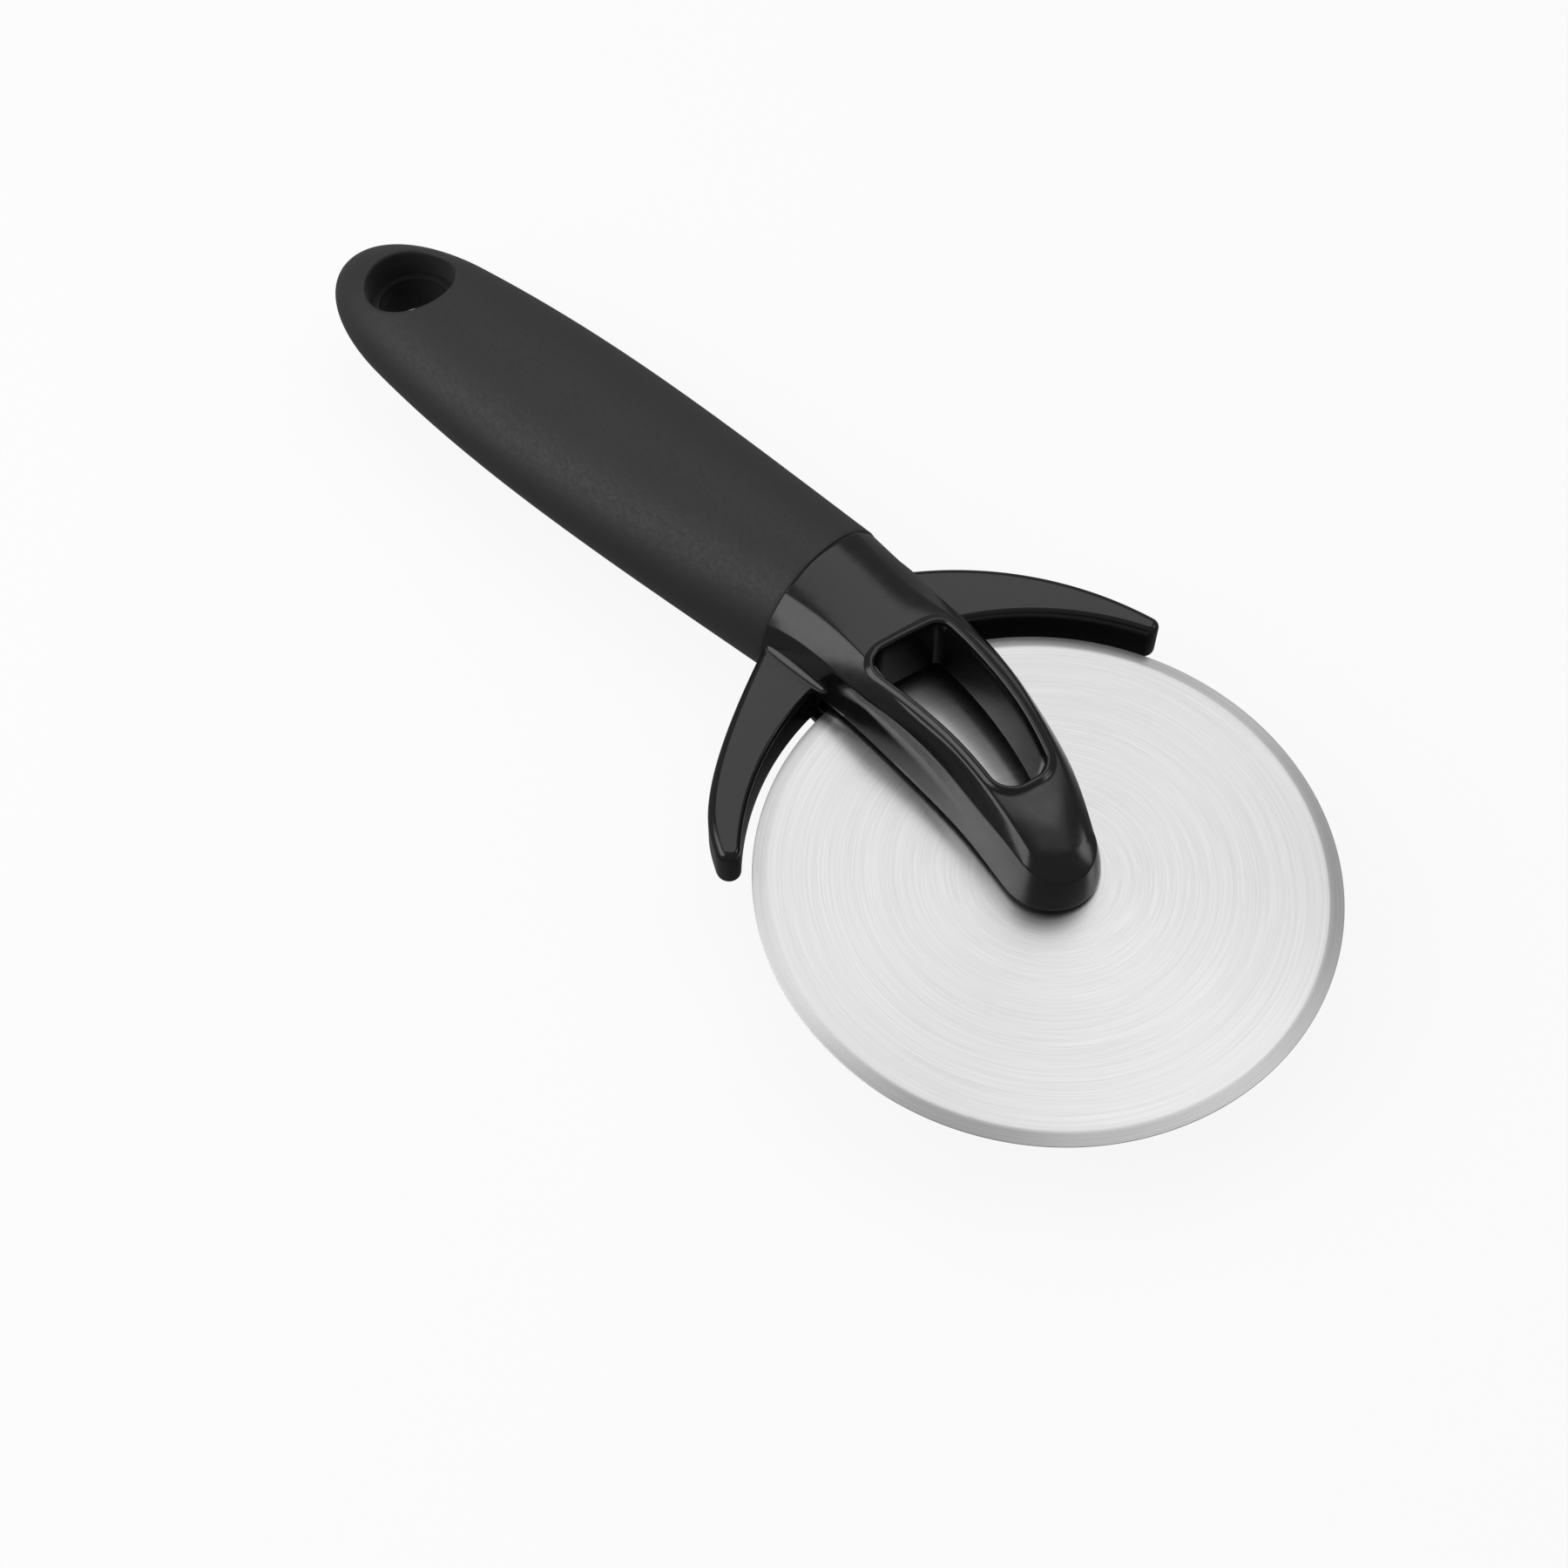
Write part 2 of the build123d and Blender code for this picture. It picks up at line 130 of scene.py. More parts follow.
# Window
window_back = 40.6
window_front = 9.4
window_back_left = 8.0
window_back_right = 6.9
window_middle_left = 3.95
window_middle_right = 8.0
window_front_left = 2.5
window_front_right = 5.9
window_back_left_corner = 3.0
window_back_right_corner = 2.0
window_front_corner = 3.7
window_taper = tan(radians(4.0))
outline_count = 1200           # points of the even outline
side_edge_count = 90           # points of each side edge before that
corner_count = 24
tangent_point = 8              # point of a side edge that a corner aims at
normal_spread = 6              # points on either side that give a normal
corner_spare = 0.9             # free run between a rounded corner and the points of a side edge
window_wall_foot = 4.0         # the windows' walls end at the roof of the hollow underside
lip_profile = [(0.0, -0.55), (0.03, -0.25), (0.12, 0.0), (0.3, 0.3), (0.5, 0.43), (0.7, 0.45),
               (0.92, 0.4), (1.15, 0.24), (1.4, 0.07), (1.75, 0.0)]
spine_back = (-35.0, 0.2)
spine_front = (-14.0, 1.9)
window_wall_rows = 7
deck_rows = 10

# Finger guards
guard_half_thickness = 4.0
guard_heel_degrees = 163.0
guard_left = {"tip_radius": 2.0, "tip_degrees": 124.7, "tip_lean": 18.4, "tip_hand": 4.6,
              "root": (-58.4, 14.2), "root_degrees": 53.7, "root_hand": 32.0,
              "inner_tip": 46.7, "inner_heel": 47.5}
guard_right = {"tip_radius": 1.65, "tip_degrees": 125.4, "tip_lean": 12.4, "tip_hand": 14.2,
               "root": (-58.1, 12.3), "root_degrees": 66.9, "root_hand": 14.2,
               "inner_tip": 47.3, "inner_heel": 47.3}
guard_outer_round = 1.6
guard_inner_round = 1.0
guard_counts = (60, 24, 50)    # points on the outer edge, round the tip and on the inner edge
guard_inside = 4.7             # hidden end of a guard, behind the window
guard_inside_out = 8.0
guard_fillet_radius = 1.6
guard_fillet_back = -59.5
guard_fillet_front = -43.8
guard_fillet_columns = 40
guard_fillet_power = 0.35      # how fast the fillet reaches its full size at its ends
guard_fillet_least = 0.02
guard_fillet_drop = 0.3        # its hidden sides, inside the guard and the wall
guard_fillet_buried = 0.5
guard_fillet_behind = 0.6
quarter_rows = 9               # rings of a quarter round

# Wells for the screws in the lower half
fork_well_radius = 2.5
fork_head_level = 5.2
fork_screw_spread = 7.4
fork_screw_from_seam = 7.35
axle_well_radius = 2.9
axle_head_level = 5.344
well_steps = 96

# Handle
handle_yaw = radians(15.8)
handle_width = 33.2
handle_thickness = 27.2
handle_tip_length = 20.5
hole_from_end = 17.0
grip_hole_radius = 8.0
lower_hole_radius = 6.9        # the hole is narrower below its web
hole_rim_round = 0.9
hole_patch_reach = 15.0        # the skin round the hole starts this far before its middle
grip_end_round = 0.4
grip_end_places = (0.18, 0.05, 0.0)                # rings of that round, from the seam
grip_end_insets = (0.06, 0.2, grip_end_round)
grip_outline_count = 900
grip_rim_count = 90            # points round the handle's end
grip_rows = 90                 # rings from the hole's skin to the seam
grip_columns = 60              # points across the grip
grip_patch_rows = 42
grip_smooth_degrees = 40.0
hole_wall_rows = 8
hole_rim_rows = 7
overall_length = 221.0
width_shares = (0.861, 0.982, 1.119, 0.845)
thickness_shares = (1.000, 0.853, 0.745, 0.676)
tip_reach_share = 0.553
tip_width_shares = (0.884, 0.520)

handle_axis = np.array([-cos(handle_yaw), -sin(handle_yaw), 0.0])
across_axis = np.array([-sin(handle_yaw), cos(handle_yaw), 0.0])
seam_point = np.array([-arm_reach, seam_offset, 0.0])


# Numbers to shapes

def unit(vectors):
    """Vectors of length one."""
    return vectors / np.linalg.norm(vectors, axis=-1, keepdims=True)


def spline(places, values, at):
    """Natural cubic spline through the values at the places, read at other places."""
    places, values, at = (np.asarray(each, float) for each in (places, values, at))
    steps = np.diff(places)
    slopes = np.diff(values, axis=0) / steps.reshape(-1, *[1] * (values.ndim - 1))
    count = len(places)
    matrix = np.eye(count)
    right = np.zeros_like(values)
    for row in range(1, count - 1):
        matrix[row, row - 1:row + 2] = steps[row - 1], 2 * (steps[row - 1] + steps[row]), steps[row]
        right[row] = 6 * (slopes[row] - slopes[row - 1])
    bend = np.linalg.solve(matrix, right.reshape(count, -1)).reshape(values.shape)
    span = np.clip(np.searchsorted(places, at, side="right") - 1, 0, count - 2)
    shape = (-1,) + (1,) * (values.ndim - 1)
    step = steps[span].reshape(shape)
    past = (at - places[span]).reshape(shape)
    left = step - past
    return (bend[span] * left ** 3 + bend[span + 1] * past ** 3) / (6 * step) + (
        values[span] / step - bend[span] * step / 6) * left + (
        values[span + 1] / step - bend[span + 1] * step / 6) * past


def bezier(corners, shares):
    """Points of a Bezier curve of any degree."""
    points = [np.asarray(corner, float) for corner in corners]
    shares = np.asarray(shares, float).reshape(-1, 1)
    level = [np.broadcast_to(point, (len(shares), len(point))) for point in points]
    while len(level) > 1:
        level = [a + (b - a) * shares for a, b in zip(level, level[1:])]
    return level[0]


def arc_through(start, middle, end, count):
    """Points of the plan arc through three points."""
    (ax, ay), (bx, by), (cx, cy) = start, middle, end
    area = 2 * (ax * (by - cy) + bx * (cy - ay) + cx * (ay - by))
    squares = [x * x + y * y for x, y in (start, middle, end)]
    centre_x = (squares[0] * (by - cy) + squares[1] * (cy - ay) + squares[2] * (ay - by)) / area
    centre_y = (squares[0] * (cx - bx) + squares[1] * (ax - cx) + squares[2] * (bx - ax)) / area
    angles = np.unwrap([np.arctan2(y - centre_y, x - centre_x) for x, y in (start, middle, end)])
    radius = np.hypot(ax - centre_x, ay - centre_y)
    turn = np.linspace(angles[0], angles[2], count)
    return np.c_[centre_x + radius * np.cos(turn), centre_y + radius * np.sin(turn)]


def corner(before, at, after, reach, count):
    """Rings that round a corner between two neighbouring rings."""
    start = at + unit(before - at) * reach
    end = at + unit(after - at) * reach
    shares = np.linspace(0, 1, count)
    return [start * (1 - s) ** 2 + at * 2 * s * (1 - s) + end * s ** 2 for s in shares]


def bowed(start, end, bulge_share, count):
    """Rings strictly between two rings, swelling outwards from the straight line."""
    run = end - start
    out = run * [1, 1, 0]
    out = out / np.maximum(np.linalg.norm(out, axis=-1, keepdims=True), 1e-9)
    reach = np.linalg.norm(run[..., :2], axis=-1, keepdims=True)
    normal = out * -run[..., 2:] + reach * np.array([0, 0, 1.0])
    return [start + run * s + normal * bulge_share * 4 * s * (1 - s)
            for s in np.linspace(0, 1, count + 2)[1:-1]]


class Skin:
    """Gathers grids of points in millimetres and makes one closed mesh of them."""

    def __init__(self):
        self.points = []
        self.faces = []
        self.count = 0

    def grid(self, rings, closed=False):
        rows, columns = len(rings), len(rings[0])
        base = self.count
        for ring in rings:
            self.points.append(np.asarray(ring, float))
        self.count += rows * columns
        last = columns if closed else columns - 1
        for row in range(rows - 1):
            for column in range(last):
                after = (column + 1) % columns
                a = base + row * columns
                b = a + columns
                self.faces.append((a + column, a + after, b + after, b + column))

    def cap(self, ring):
        self.points.append(np.asarray(ring, float))
        self.faces.append(tuple(range(self.count, self.count + len(ring))))
        self.count += len(ring)

    def mesh(self, name, sharp_degrees=smooth_degrees):
        points = (np.vstack(self.points) + axle) * mm
        mesh = bpy.data.meshes.new(name)
        mesh.from_pydata(points.tolist(), [], self.faces)
        return closed_up(mesh, sharp_degrees)


def closed_up(mesh, sharp_degrees):
    """Merges a mesh's doubles, turns its faces outwards and shades it smooth between sharp edges."""
    work = bmesh.new()
    work.from_mesh(mesh)
    bmesh.ops.remove_doubles(work, verts=work.verts, dist=merge_reach * mm)
    bmesh.ops.dissolve_degenerate(work, edges=work.edges, dist=flat_reach * mm)
    bmesh.ops.recalc_face_normals(work, faces=work.faces)
    for face in work.faces:
        face.smooth = True
    work.to_mesh(mesh)
    work.free()
    mesh.set_sharp_from_angle(angle=radians(sharp_degrees))
    return mesh


def linked(name, data):
    """New object in the scene."""
    thing = bpy.data.objects.new(name, data)
    bpy.context.scene.collection.objects.link(thing)
    return thing


def piece(name, mesh, body, finish, replaced):
    """Makes an object of a mesh, dresses it and lets it ride on its body."""
    thing = linked(name, mesh)
    mesh.materials.clear()
    mesh.materials.append(finish)
    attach(thing, body)
    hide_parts(*replaced)


# Fork arm

def section_rails():
    """Corner points of every section of the arm, from the seam to past the nose."""
    seam_face = seam_point - handle_axis * seam_gap - across_axis * collar_aside
    rows = [(seam_face, across_axis, seam_shares)]
    for along, drift, *shares in station_shares:
        origin = np.array([along * arm_reach, drift * collar_half_width, 0.0])
        rows.append((origin, np.array([0.0, 1.0, 0.0]), shares))
    rails = []
    for origin, across, shares in rows:
        skirt, shoulder, deck = (share * collar_half_width for share in shares[:3])
        shoulder_up, deck_up, crown = (share * arm_height for share in shares[3:])
        up = np.array([0.0, 0.0, 1.0])
        rails.append([origin + across * half + up * height for half, height in (
            (-skirt, 0), (-shoulder, shoulder_up), (-deck, deck_up), (0, crown),
            (deck, deck_up), (shoulder, shoulder_up), (skirt, 0))])
    return np.array([row[0][0] for row in rows]), np.array(rails)


rail_places, rail_points = section_rails()


def rails_at(places):
    """The seven rails of the arm read at places along it, one row a place."""
    return spline(rail_places, rail_points, places)


def deck_level(plan):
    """Height of the deck above plan points."""
    plan = np.asarray(plan, float)
    rails = rails_at(plan[..., 0].ravel())
    deck_left, crown, deck_right = rails[:, 2], rails[:, 3], rails[:, 4]
    middle = (deck_left[:, 1] + deck_right[:, 1]) / 2
    half = (deck_right[:, 1] - deck_left[:, 1]) / 2
    share = (plan[..., 1].ravel() - middle) / half
    level = crown[:, 2] - (crown[:, 2] - deck_left[:, 2]) * share ** 2
    return level.reshape(plan.shape[:-1])


def on_deck(plan, lift=0.0):
    """Plan points raised to the deck."""
    return np.dstack([plan[..., 0], plan[..., 1], deck_level(plan) + lift])[0]


def window_outline():
    """Plan outline of the window with rounded corners, and its outward normals."""
    middle = (-window_back - window_front) / 2
    back_left, back_right = (-window_back, -window_back_left), (-window_back, window_back_right)
    front_left, front_right = (-window_front, -window_front_left), (-window_front, window_front_right)
    right_edge = arc_through(back_right, (middle, window_middle_right), front_right, side_edge_count)
    left_edge = arc_through(front_left, (middle, -window_middle_left), back_left, side_edge_count)
    stops = [(back_left, window_back_left_corner, left_edge[-1 - tangent_point], back_right),
             (back_right, window_back_right_corner, back_left, right_edge[tangent_point]),
             (front_right, window_front_corner, right_edge[-1 - tangent_point], front_left),
             (front_left, window_front_corner, front_right, left_edge[tangent_point])]
    points = []
    for (at, radius, before, after), side in zip(stops, (None, right_edge, None, left_edge)):
        at, before, after = (np.array(each) for each in (at, before, after))
        into, out = unit(before - at), unit(after - at)
        half_turn = np.arccos(np.clip(into @ out, -1, 1)) / 2
        centre = at + unit(into + out) * radius / np.sin(half_turn)
        reach = radius / np.tan(half_turn)
        start, end = at + into * reach - centre, at + out * reach - centre
        angles = np.unwrap([np.arctan2(start[1], start[0]), np.arctan2(end[1], end[0])])
        turn = np.linspace(angles[0], angles[1], corner_count)
        points.append(np.c_[centre[0] + radius * np.cos(turn), centre[1] + radius * np.sin(turn)])
        if side is not None:
            spare = window_front_corner + corner_spare
            inside = (side[:, 0] > -window_back + spare) & (side[:, 0] < -window_front - spare)
            points.append(side[inside])
    loop = np.vstack(points)
    loop = np.vstack([loop, loop[:1]])
    lengths = np.r_[0, np.cumsum(np.linalg.norm(np.diff(loop, axis=0), axis=1))]
    even = np.linspace(0, lengths[-1], outline_count, endpoint=False)
    outline = np.c_[np.interp(even, lengths, loop[:, 0]), np.interp(even, lengths, loop[:, 1])]
    along = np.roll(outline, -normal_spread, 0) - np.roll(outline, normal_spread, 0)
    normals = unit(np.c_[along[:, 1], -along[:, 0]])
    centre = outline.mean(0)
    if np.mean(np.sum(normals * (outline - centre), axis=1)) < 0:
        normals = -normals
    return outline, normals


def spine_feet(plan):
    """Nearest points on the window's spine to plan points."""
    start, end = np.array(spine_back), np.array(spine_front)
    run = end - start
    share = np.clip((plan - start) @ run / (run @ run), 0, 1)
    return start + share[:, None] * run


def window_points(outer):
    """Points of the window's edge that face the outer plan points, with their normals."""
    outline, normals = window_outline()
    feet = spine_feet(outer)
    rays = unit(outer - feet)
    found, found_normals = [], []
    for foot, ray in zip(feet, rays):
        offsets = outline - foot
        across = offsets[:, 0] * ray[1] - offsets[:, 1] * ray[0]
        ahead = offsets @ ray
        after = np.roll(across, -1)
        crossing = np.flatnonzero((across * after <= 0) & (ahead > 0))
        first = crossing[np.argmin(ahead[crossing])]
        second = (first + 1) % len(outline)
        share = across[first] / (across[first] - across[second] + 1e-12)
        found.append(outline[first] * (1 - share) + outline[second] * share)
        found_normals.append(unit(normals[first] * (1 - share) + normals[second] * share))
    return np.array(found), np.array(found_normals)


side_columns = 110
nose_columns = 64
back_columns = 30
collar_rows = 34
junction_place = -sqrt(slot_radius ** 2 - (junction_share * collar_half_width) ** 2)


def outer_lines():
    """Deck edge, shoulder and skirt of the open arm, from its left root round the nose to its right."""
    middle = np.array(nose_middle)
    shares = np.linspace(0, 1, side_columns)
    lines = {}
    for rail, left, right, front_radius in (("skirt", 0, 6, nose_radius),
                                            ("shoulder", 1, 5, nose_shoulder_radius),
                                            ("deck", 2, 4, nose_deck_radius)):
        ends = []
        for index, turn in ((left, nose_turn_left), (right, nose_turn_right)):
            near = np.linspace(*nose_turn_search)
            points = rails_at(near)[:, index, :2] - middle
            bearing = np.abs(np.degrees(np.arctan2(points[:, 1], points[:, 0])))
            ends.append(near[np.argmin(np.abs(bearing - turn))])
        runs = [rails_at(junction_place + (end - junction_place) * shares)[:, index]
                for end, index in zip(ends, (left, right))]
        starts = [run[-1, :2] - middle for run in runs]
        first, last = (np.arctan2(start[1], start[0]) for start in starts)
        way = np.linspace(0, 1, nose_columns + 2)[1:-1]
        angles = first + (last - first) * way
        radius = np.hypot(*starts[0]) * (1 - way) + np.hypot(*starts[1]) * way
        front = np.sin(way * pi) ** 2
        radius = radius + (front_radius - radius) * front
        plan = middle + radius[:, None] * np.c_[np.cos(angles), np.sin(angles)]
        if rail == "deck":
            level = deck_level(plan)
        else:
            level = runs[0][-1, 2] * (1 - way) + runs[1][-1, 2] * way
            level = level - (nose_shoulder_drop * front if rail == "shoulder" else 0)
        lines[rail] = np.vstack([runs[0], np.c_[plan, level], runs[1][::-1]])
    return lines["deck"], lines["shoulder"], lines["skirt"]


def wall_rings(shoulder, foot, places):
    """Rings down the wall from the shoulder, with the moulded hollow along the flank."""
    rings = []
    run = foot - shoulder
    out = unit(run * [1, 1, 0])
    depth = np.full((len(places), 1), flank_groove_depth)
    for end in (flank_groove_back, flank_groove_front):
        reach = np.clip((places - end) / (flank_groove_deepest - end), 0, 1)[:, None]
        depth = depth * reach * reach * (3 - 2 * reach)
    straight = bowed(shoulder, foot, wall_bulge_share, wall_rows)
    for share, ring in zip(np.linspace(0, 1, wall_rows + 2)[1:-1], straight):
        above = np.clip(share / flank_groove_share, 0, 1)
        below = np.clip((1 - share) / (1 - flank_groove_share) * flank_groove_rise, 0, 1)
        hollow = min(above ** flank_groove_power, below)
        rings.append(ring - out * depth * hollow)
    return rings


def side_profile(inner, deck, shoulder, skirt, foot_level):
    """Rings from the deck's edge over the facet and down the wall to the foot."""
    slope = (skirt - shoulder) / (skirt - shoulder)[:, 2:]
    foot = shoulder + slope * (foot_level[:, None] - shoulder[:, 2:])
    rings = corner(inner, deck, shoulder, deck_edge_reach, edge_rows)
    facet_start = rings[-1]
    shoulder_rings = corner(deck, shoulder, foot, shoulder_reach, edge_rows)
    rings += bowed(facet_start, shoulder_rings[0], wall_bulge_share, edge_rows)
    rings += shoulder_rings
    bottom_in = foot - unit((foot - shoulder) * [1, 1, 0])
    foot_rings = corner(shoulder, foot, bottom_in, skirt_reach, foot_rows)
    rings += wall_rings(shoulder_rings[-1], foot_rings[0], shoulder[:, 0])
    rings += foot_rings
    return rings


def arm_skin():
    """Upper arm and collar as one closed skin, open at the window."""
    skin = Skin()
    deck, shoulder, skirt = outer_lines()
    columns = len(deck)
    inward = np.zeros((columns, 2))
    inward[:side_columns] = (0, 1)
    inward[-side_columns:] = (0, -1)
    nose = slice(side_columns, columns - side_columns)
    inward[nose] = -unit(deck[nose, :2] - nose_middle)
    inner_plan = deck[:, :2] + inward * deck_edge_reach
    inner = on_deck(inner_plan)
    foot_level = np.where(np.arange(columns) % (columns - 1) == 0, 0.0, slot_half_height)
    sides = side_profile(inner, deck, shoulder, skirt, foot_level)

    # The line across the deck where the open arm meets the collar
    shares = np.linspace(1, -1, back_columns + 2)[1:-1]
    rim_right, rim_left = sides[0][-1], sides[0][0]
    across = rim_left[1] + (rim_right[1] - rim_left[1]) * (shares + 1) / 2
    back_plan = np.c_[np.full(back_columns, junction_place), across]
    back_line = on_deck(back_plan)

    outer = np.vstack([sides[0], back_line])
    edge, normals = window_points(outer[:, :2])
    rings = []
    for share in np.linspace(0, 1, window_wall_rows):
        top = deck_level(edge) + lip_profile[0][1]
        level = window_wall_foot + (top - window_wall_foot) * share
        plan = edge - normals * ((arm_height - level) * window_taper)[:, None]
        rings.append(np.c_[plan, level])
    for offset, lift in lip_profile[1:]:
        plan = edge + normals * offset
        rings.append(on_deck(plan, lift))
    start = edge + normals * lip_profile[-1][0]
    for share in np.linspace(0, 1, deck_rows)[1:-1]:
        plan = start + (outer[:, :2] - start) * share
        rings.append(on_deck(plan))
    rings.append(outer)
    skin.grid(rings, closed=True)
    skin.grid(sides)

    # Underside of the open arm, then the step down to the parting plane at the slot
    foot = sides[-1]
    across = foot[0][1] + (foot[-1][1] - foot[0][1]) * (shares + 1) / 2
    slot_line = np.c_[-np.sqrt(slot_radius ** 2 - across ** 2), across, np.zeros(back_columns)]
    low = np.vstack([foot, slot_line])
    step = low.copy()
    step[:, 2] = slot_half_height
    step[:columns, :2] *= underside_share
    skin.grid([rings[0], step, low], closed=True)

    # Collar, from the slot back to the seam
    places = np.linspace(junction_place, rail_places[0], collar_rows)
    places = np.r_[places[:-1], places[-1] + seam_round, places[-1]]
    rails = rails_at(places)
    profiles = []
    for index, row in enumerate(rails):
        if index == 0:
            left = np.array([ring[0] for ring in sides])
            right = np.array([ring[-1] for ring in sides])
            deck_run = back_line[::-1]
        else:
            ends = row[[2, 4]]
            across = row[4] - row[2]
            level = np.array([0.0, 0.0, 1.0])
            half = np.linalg.norm(across) / 2
            share = 1 - deck_edge_reach / half
            crown = row[3][2] - row[2][2]
            middle = (ends[0] + ends[1]) / 2
            def deck_point(value):
                return middle + across / 2 * value + level * crown * (1 - value ** 2)
            inner_ends = np.array([deck_point(-share), deck_point(share)])
            both = side_profile(inner_ends, ends, row[[1, 5]], row[[0, 6]], np.zeros(2))
            left = np.array([ring[0] for ring in both])
            right = np.array([ring[1] for ring in both])
            deck_run = np.array([deck_point(value * share) for value in -shares])
        profile = np.vstack([left[::-1], deck_run, right])
        profiles.append(profile)
    centre = profiles[-1].mean(0)
    profiles[-1] = profiles[-1] + (centre - profiles[-1]) * seam_round_share
    skin.grid(profiles)
    bottoms = []
    for index, profile in enumerate(profiles):
        if index == 0:
            bottoms.append(np.vstack([foot[0], slot_line[::-1], foot[-1]]))
        else:
            start, end = profile[0], profile[-1]
            steps = np.linspace(0, 1, back_columns + 2)[:, None]
            bottoms.append(start + (end - start) * steps)
    skin.grid(bottoms)
    skin.cap(np.vstack([profiles[-1], bottoms[-1][::-1][1:-1]]))
    return skin


def heading(degrees):
    """Plan vector of length one at a bearing."""
    return np.array([cos(radians(degrees)), sin(radians(degrees))])


def guard_loop(side):
    """Plan outline of a finger guard, from the outer root round the tip to the heel."""
    shape = guard_right if side > 0 else guard_left
    tip_degrees, lean, radius = shape["tip_degrees"], shape["tip_lean"], shape["tip_radius"]
    tip = heading(tip_degrees) * (shape["inner_tip"] + radius)
    outer_tip = tip + heading(tip_degrees - lean) * radius
    root = np.array(shape["root"])
    hands = [root + heading(shape["root_degrees"]) * shape["root_hand"],
             outer_tip - heading(tip_degrees - lean - 90) * shape["tip_hand"]]
    outer_count, tip_count, inner_count = guard_counts
    outer = bezier([root, *hands, outer_tip], np.linspace(0, 1, outer_count))
    tip_turn = np.linspace(tip_degrees - lean, tip_degrees - 180, tip_count + 2)[1:-1]
    tip_arc = np.array([tip + heading(turn) * radius for turn in tip_turn])
    shares = np.linspace(0, 1, inner_count)
    inner = np.array([heading(tip_degrees + (guard_heel_degrees - tip_degrees) * share)
                      * (shape["inner_tip"] + (shape["inner_heel"] - shape["inner_tip"]) * share)
                      for share in shares])
    inside = np.array([[-window_back - guard_inside, guard_inside_out],
                       [root[0], guard_inside_out]])
    return np.vstack([outer, tip_arc, inner, inside]) * [1, side]


def inset_loop(loop, distances):
    """Plan loop moved inwards by a distance at each point."""
    along = unit(np.roll(loop, -1, 0) - np.roll(loop, 1, 0))
    normals = np.c_[along[:, 1], -along[:, 0]]
    area = np.sum(loop[:, 0] * np.roll(loop[:, 1], -1) - loop[:, 1] * np.roll(loop[:, 0], -1))
    return loop - normals * distances[:, None] * np.sign(area)


def guard_skin(side):
    """Upper half of one finger guard as a closed skin with rounded upper edges."""
    skin = Skin()
    loop = guard_loop(side)
    outer_count, tip_count = guard_counts[:2]
    reach = np.clip((np.arange(len(loop)) - outer_count) / tip_count, 0, 1)
    rounds = guard_outer_round + (guard_inner_round - guard_outer_round) * reach
    rings = [np.c_[loop, np.zeros(len(loop))]]
    for turn in np.linspace(0, pi / 2, quarter_rows):
        level = guard_half_thickness - rounds * (1 - sin(turn))
        rings.append(np.c_[inset_loop(loop, rounds * (1 - cos(turn))), level])
    skin.grid(rings, closed=True)
    skin.cap(rings[0])
    skin.cap(rings[-1])
    return skin


def fillet_skin(side):
    """Hollow fillet where the top of a guard runs into the arm's wall."""
    skin = Skin()
    places = np.linspace(guard_fillet_back, guard_fillet_front, guard_fillet_columns)
    rails = rails_at(places)
    skirt, shoulder = (rails[:, 6], rails[:, 5]) if side > 0 else (rails[:, 0], rails[:, 1])
    slope = (shoulder - skirt) / (shoulder - skirt)[:, 2:]
    swell = np.sin(np.linspace(0, pi, len(places))) ** guard_fillet_power
    radius = (guard_fillet_radius * swell + guard_fillet_least)[:, None]
    out = np.array([0, side, 0.0])
    rings = []
    for turn in np.linspace(0, pi / 2, quarter_rows):
        level = guard_half_thickness + radius * (1 - sin(turn))
        wall = skirt + slope * level
        rings.append(wall + out * radius * (1 - cos(turn)))
    hidden = skirt + slope * (guard_half_thickness - guard_fillet_buried) - out * guard_fillet_buried
    rings.append(rings[-1] - [0, 0, guard_fillet_drop])
    rings.append(hidden)
    rings.append(rings[0] - out * guard_fillet_behind)
    rings.append(rings[0])
    skin.grid(rings)
    for end in (0, -1):
        skin.cap(np.array([ring[end] for ring in rings[:-1]]))
    return skin


def drilled(mesh, wells):
    """The mesh with a round well cut from below at each place; sizes in millimetres."""
    thing = linked("drilled", mesh)
    bits = []
    for x, y, radius, roof in wells:
        work = bmesh.new()
        tall = arm_height
        bmesh.ops.create_cone(work, cap_ends=True, segments=well_steps, radius1=radius * mm,
                              radius2=radius * mm, depth=tall * mm)
        place = axle + np.array([x, y, roof - tall / 2])
        bmesh.ops.translate(work, verts=work.verts, vec=Vector(place) * mm)
        bit_mesh = bpy.data.meshes.new("bit")
        work.to_mesh(bit_mesh)
        work.free()
        bit = linked("bit", bit_mesh)
        cut = thing.modifiers.new("well", "BOOLEAN")
        cut.operation = "DIFFERENCE"
        cut.solver = "EXACT"
        cut.object = bit
        bits.append(bit)
    graph = bpy.context.evaluated_depsgraph_get()
    result = bpy.data.meshes.new_from_object(thing.evaluated_get(graph))
    for made in bits + [thing]:
        old = made.data
        bpy.data.objects.remove(made)
        bpy.data.meshes.remove(old)
    return result


def well_places():
    """Wells of the lower half: plan place, radius and roof of each."""
    middle = seam_point - handle_axis * fork_screw_from_seam
    places = [middle + across_axis * side * fork_screw_spread for side in (1, -1)]
    wells = [(place[0], place[1], fork_well_radius, -fork_head_level) for place in places]
    return wells + [(0.0, 0.0, axle_well_radius, -axle_head_level)]


def turned_over(skin):
    """The same skin for the lower half."""
    other = Skin()
    other.points = [points * [1, 1, -1] for points in skin.points]
    other.faces = list(skin.faces)
    other.count = skin.count
    return other


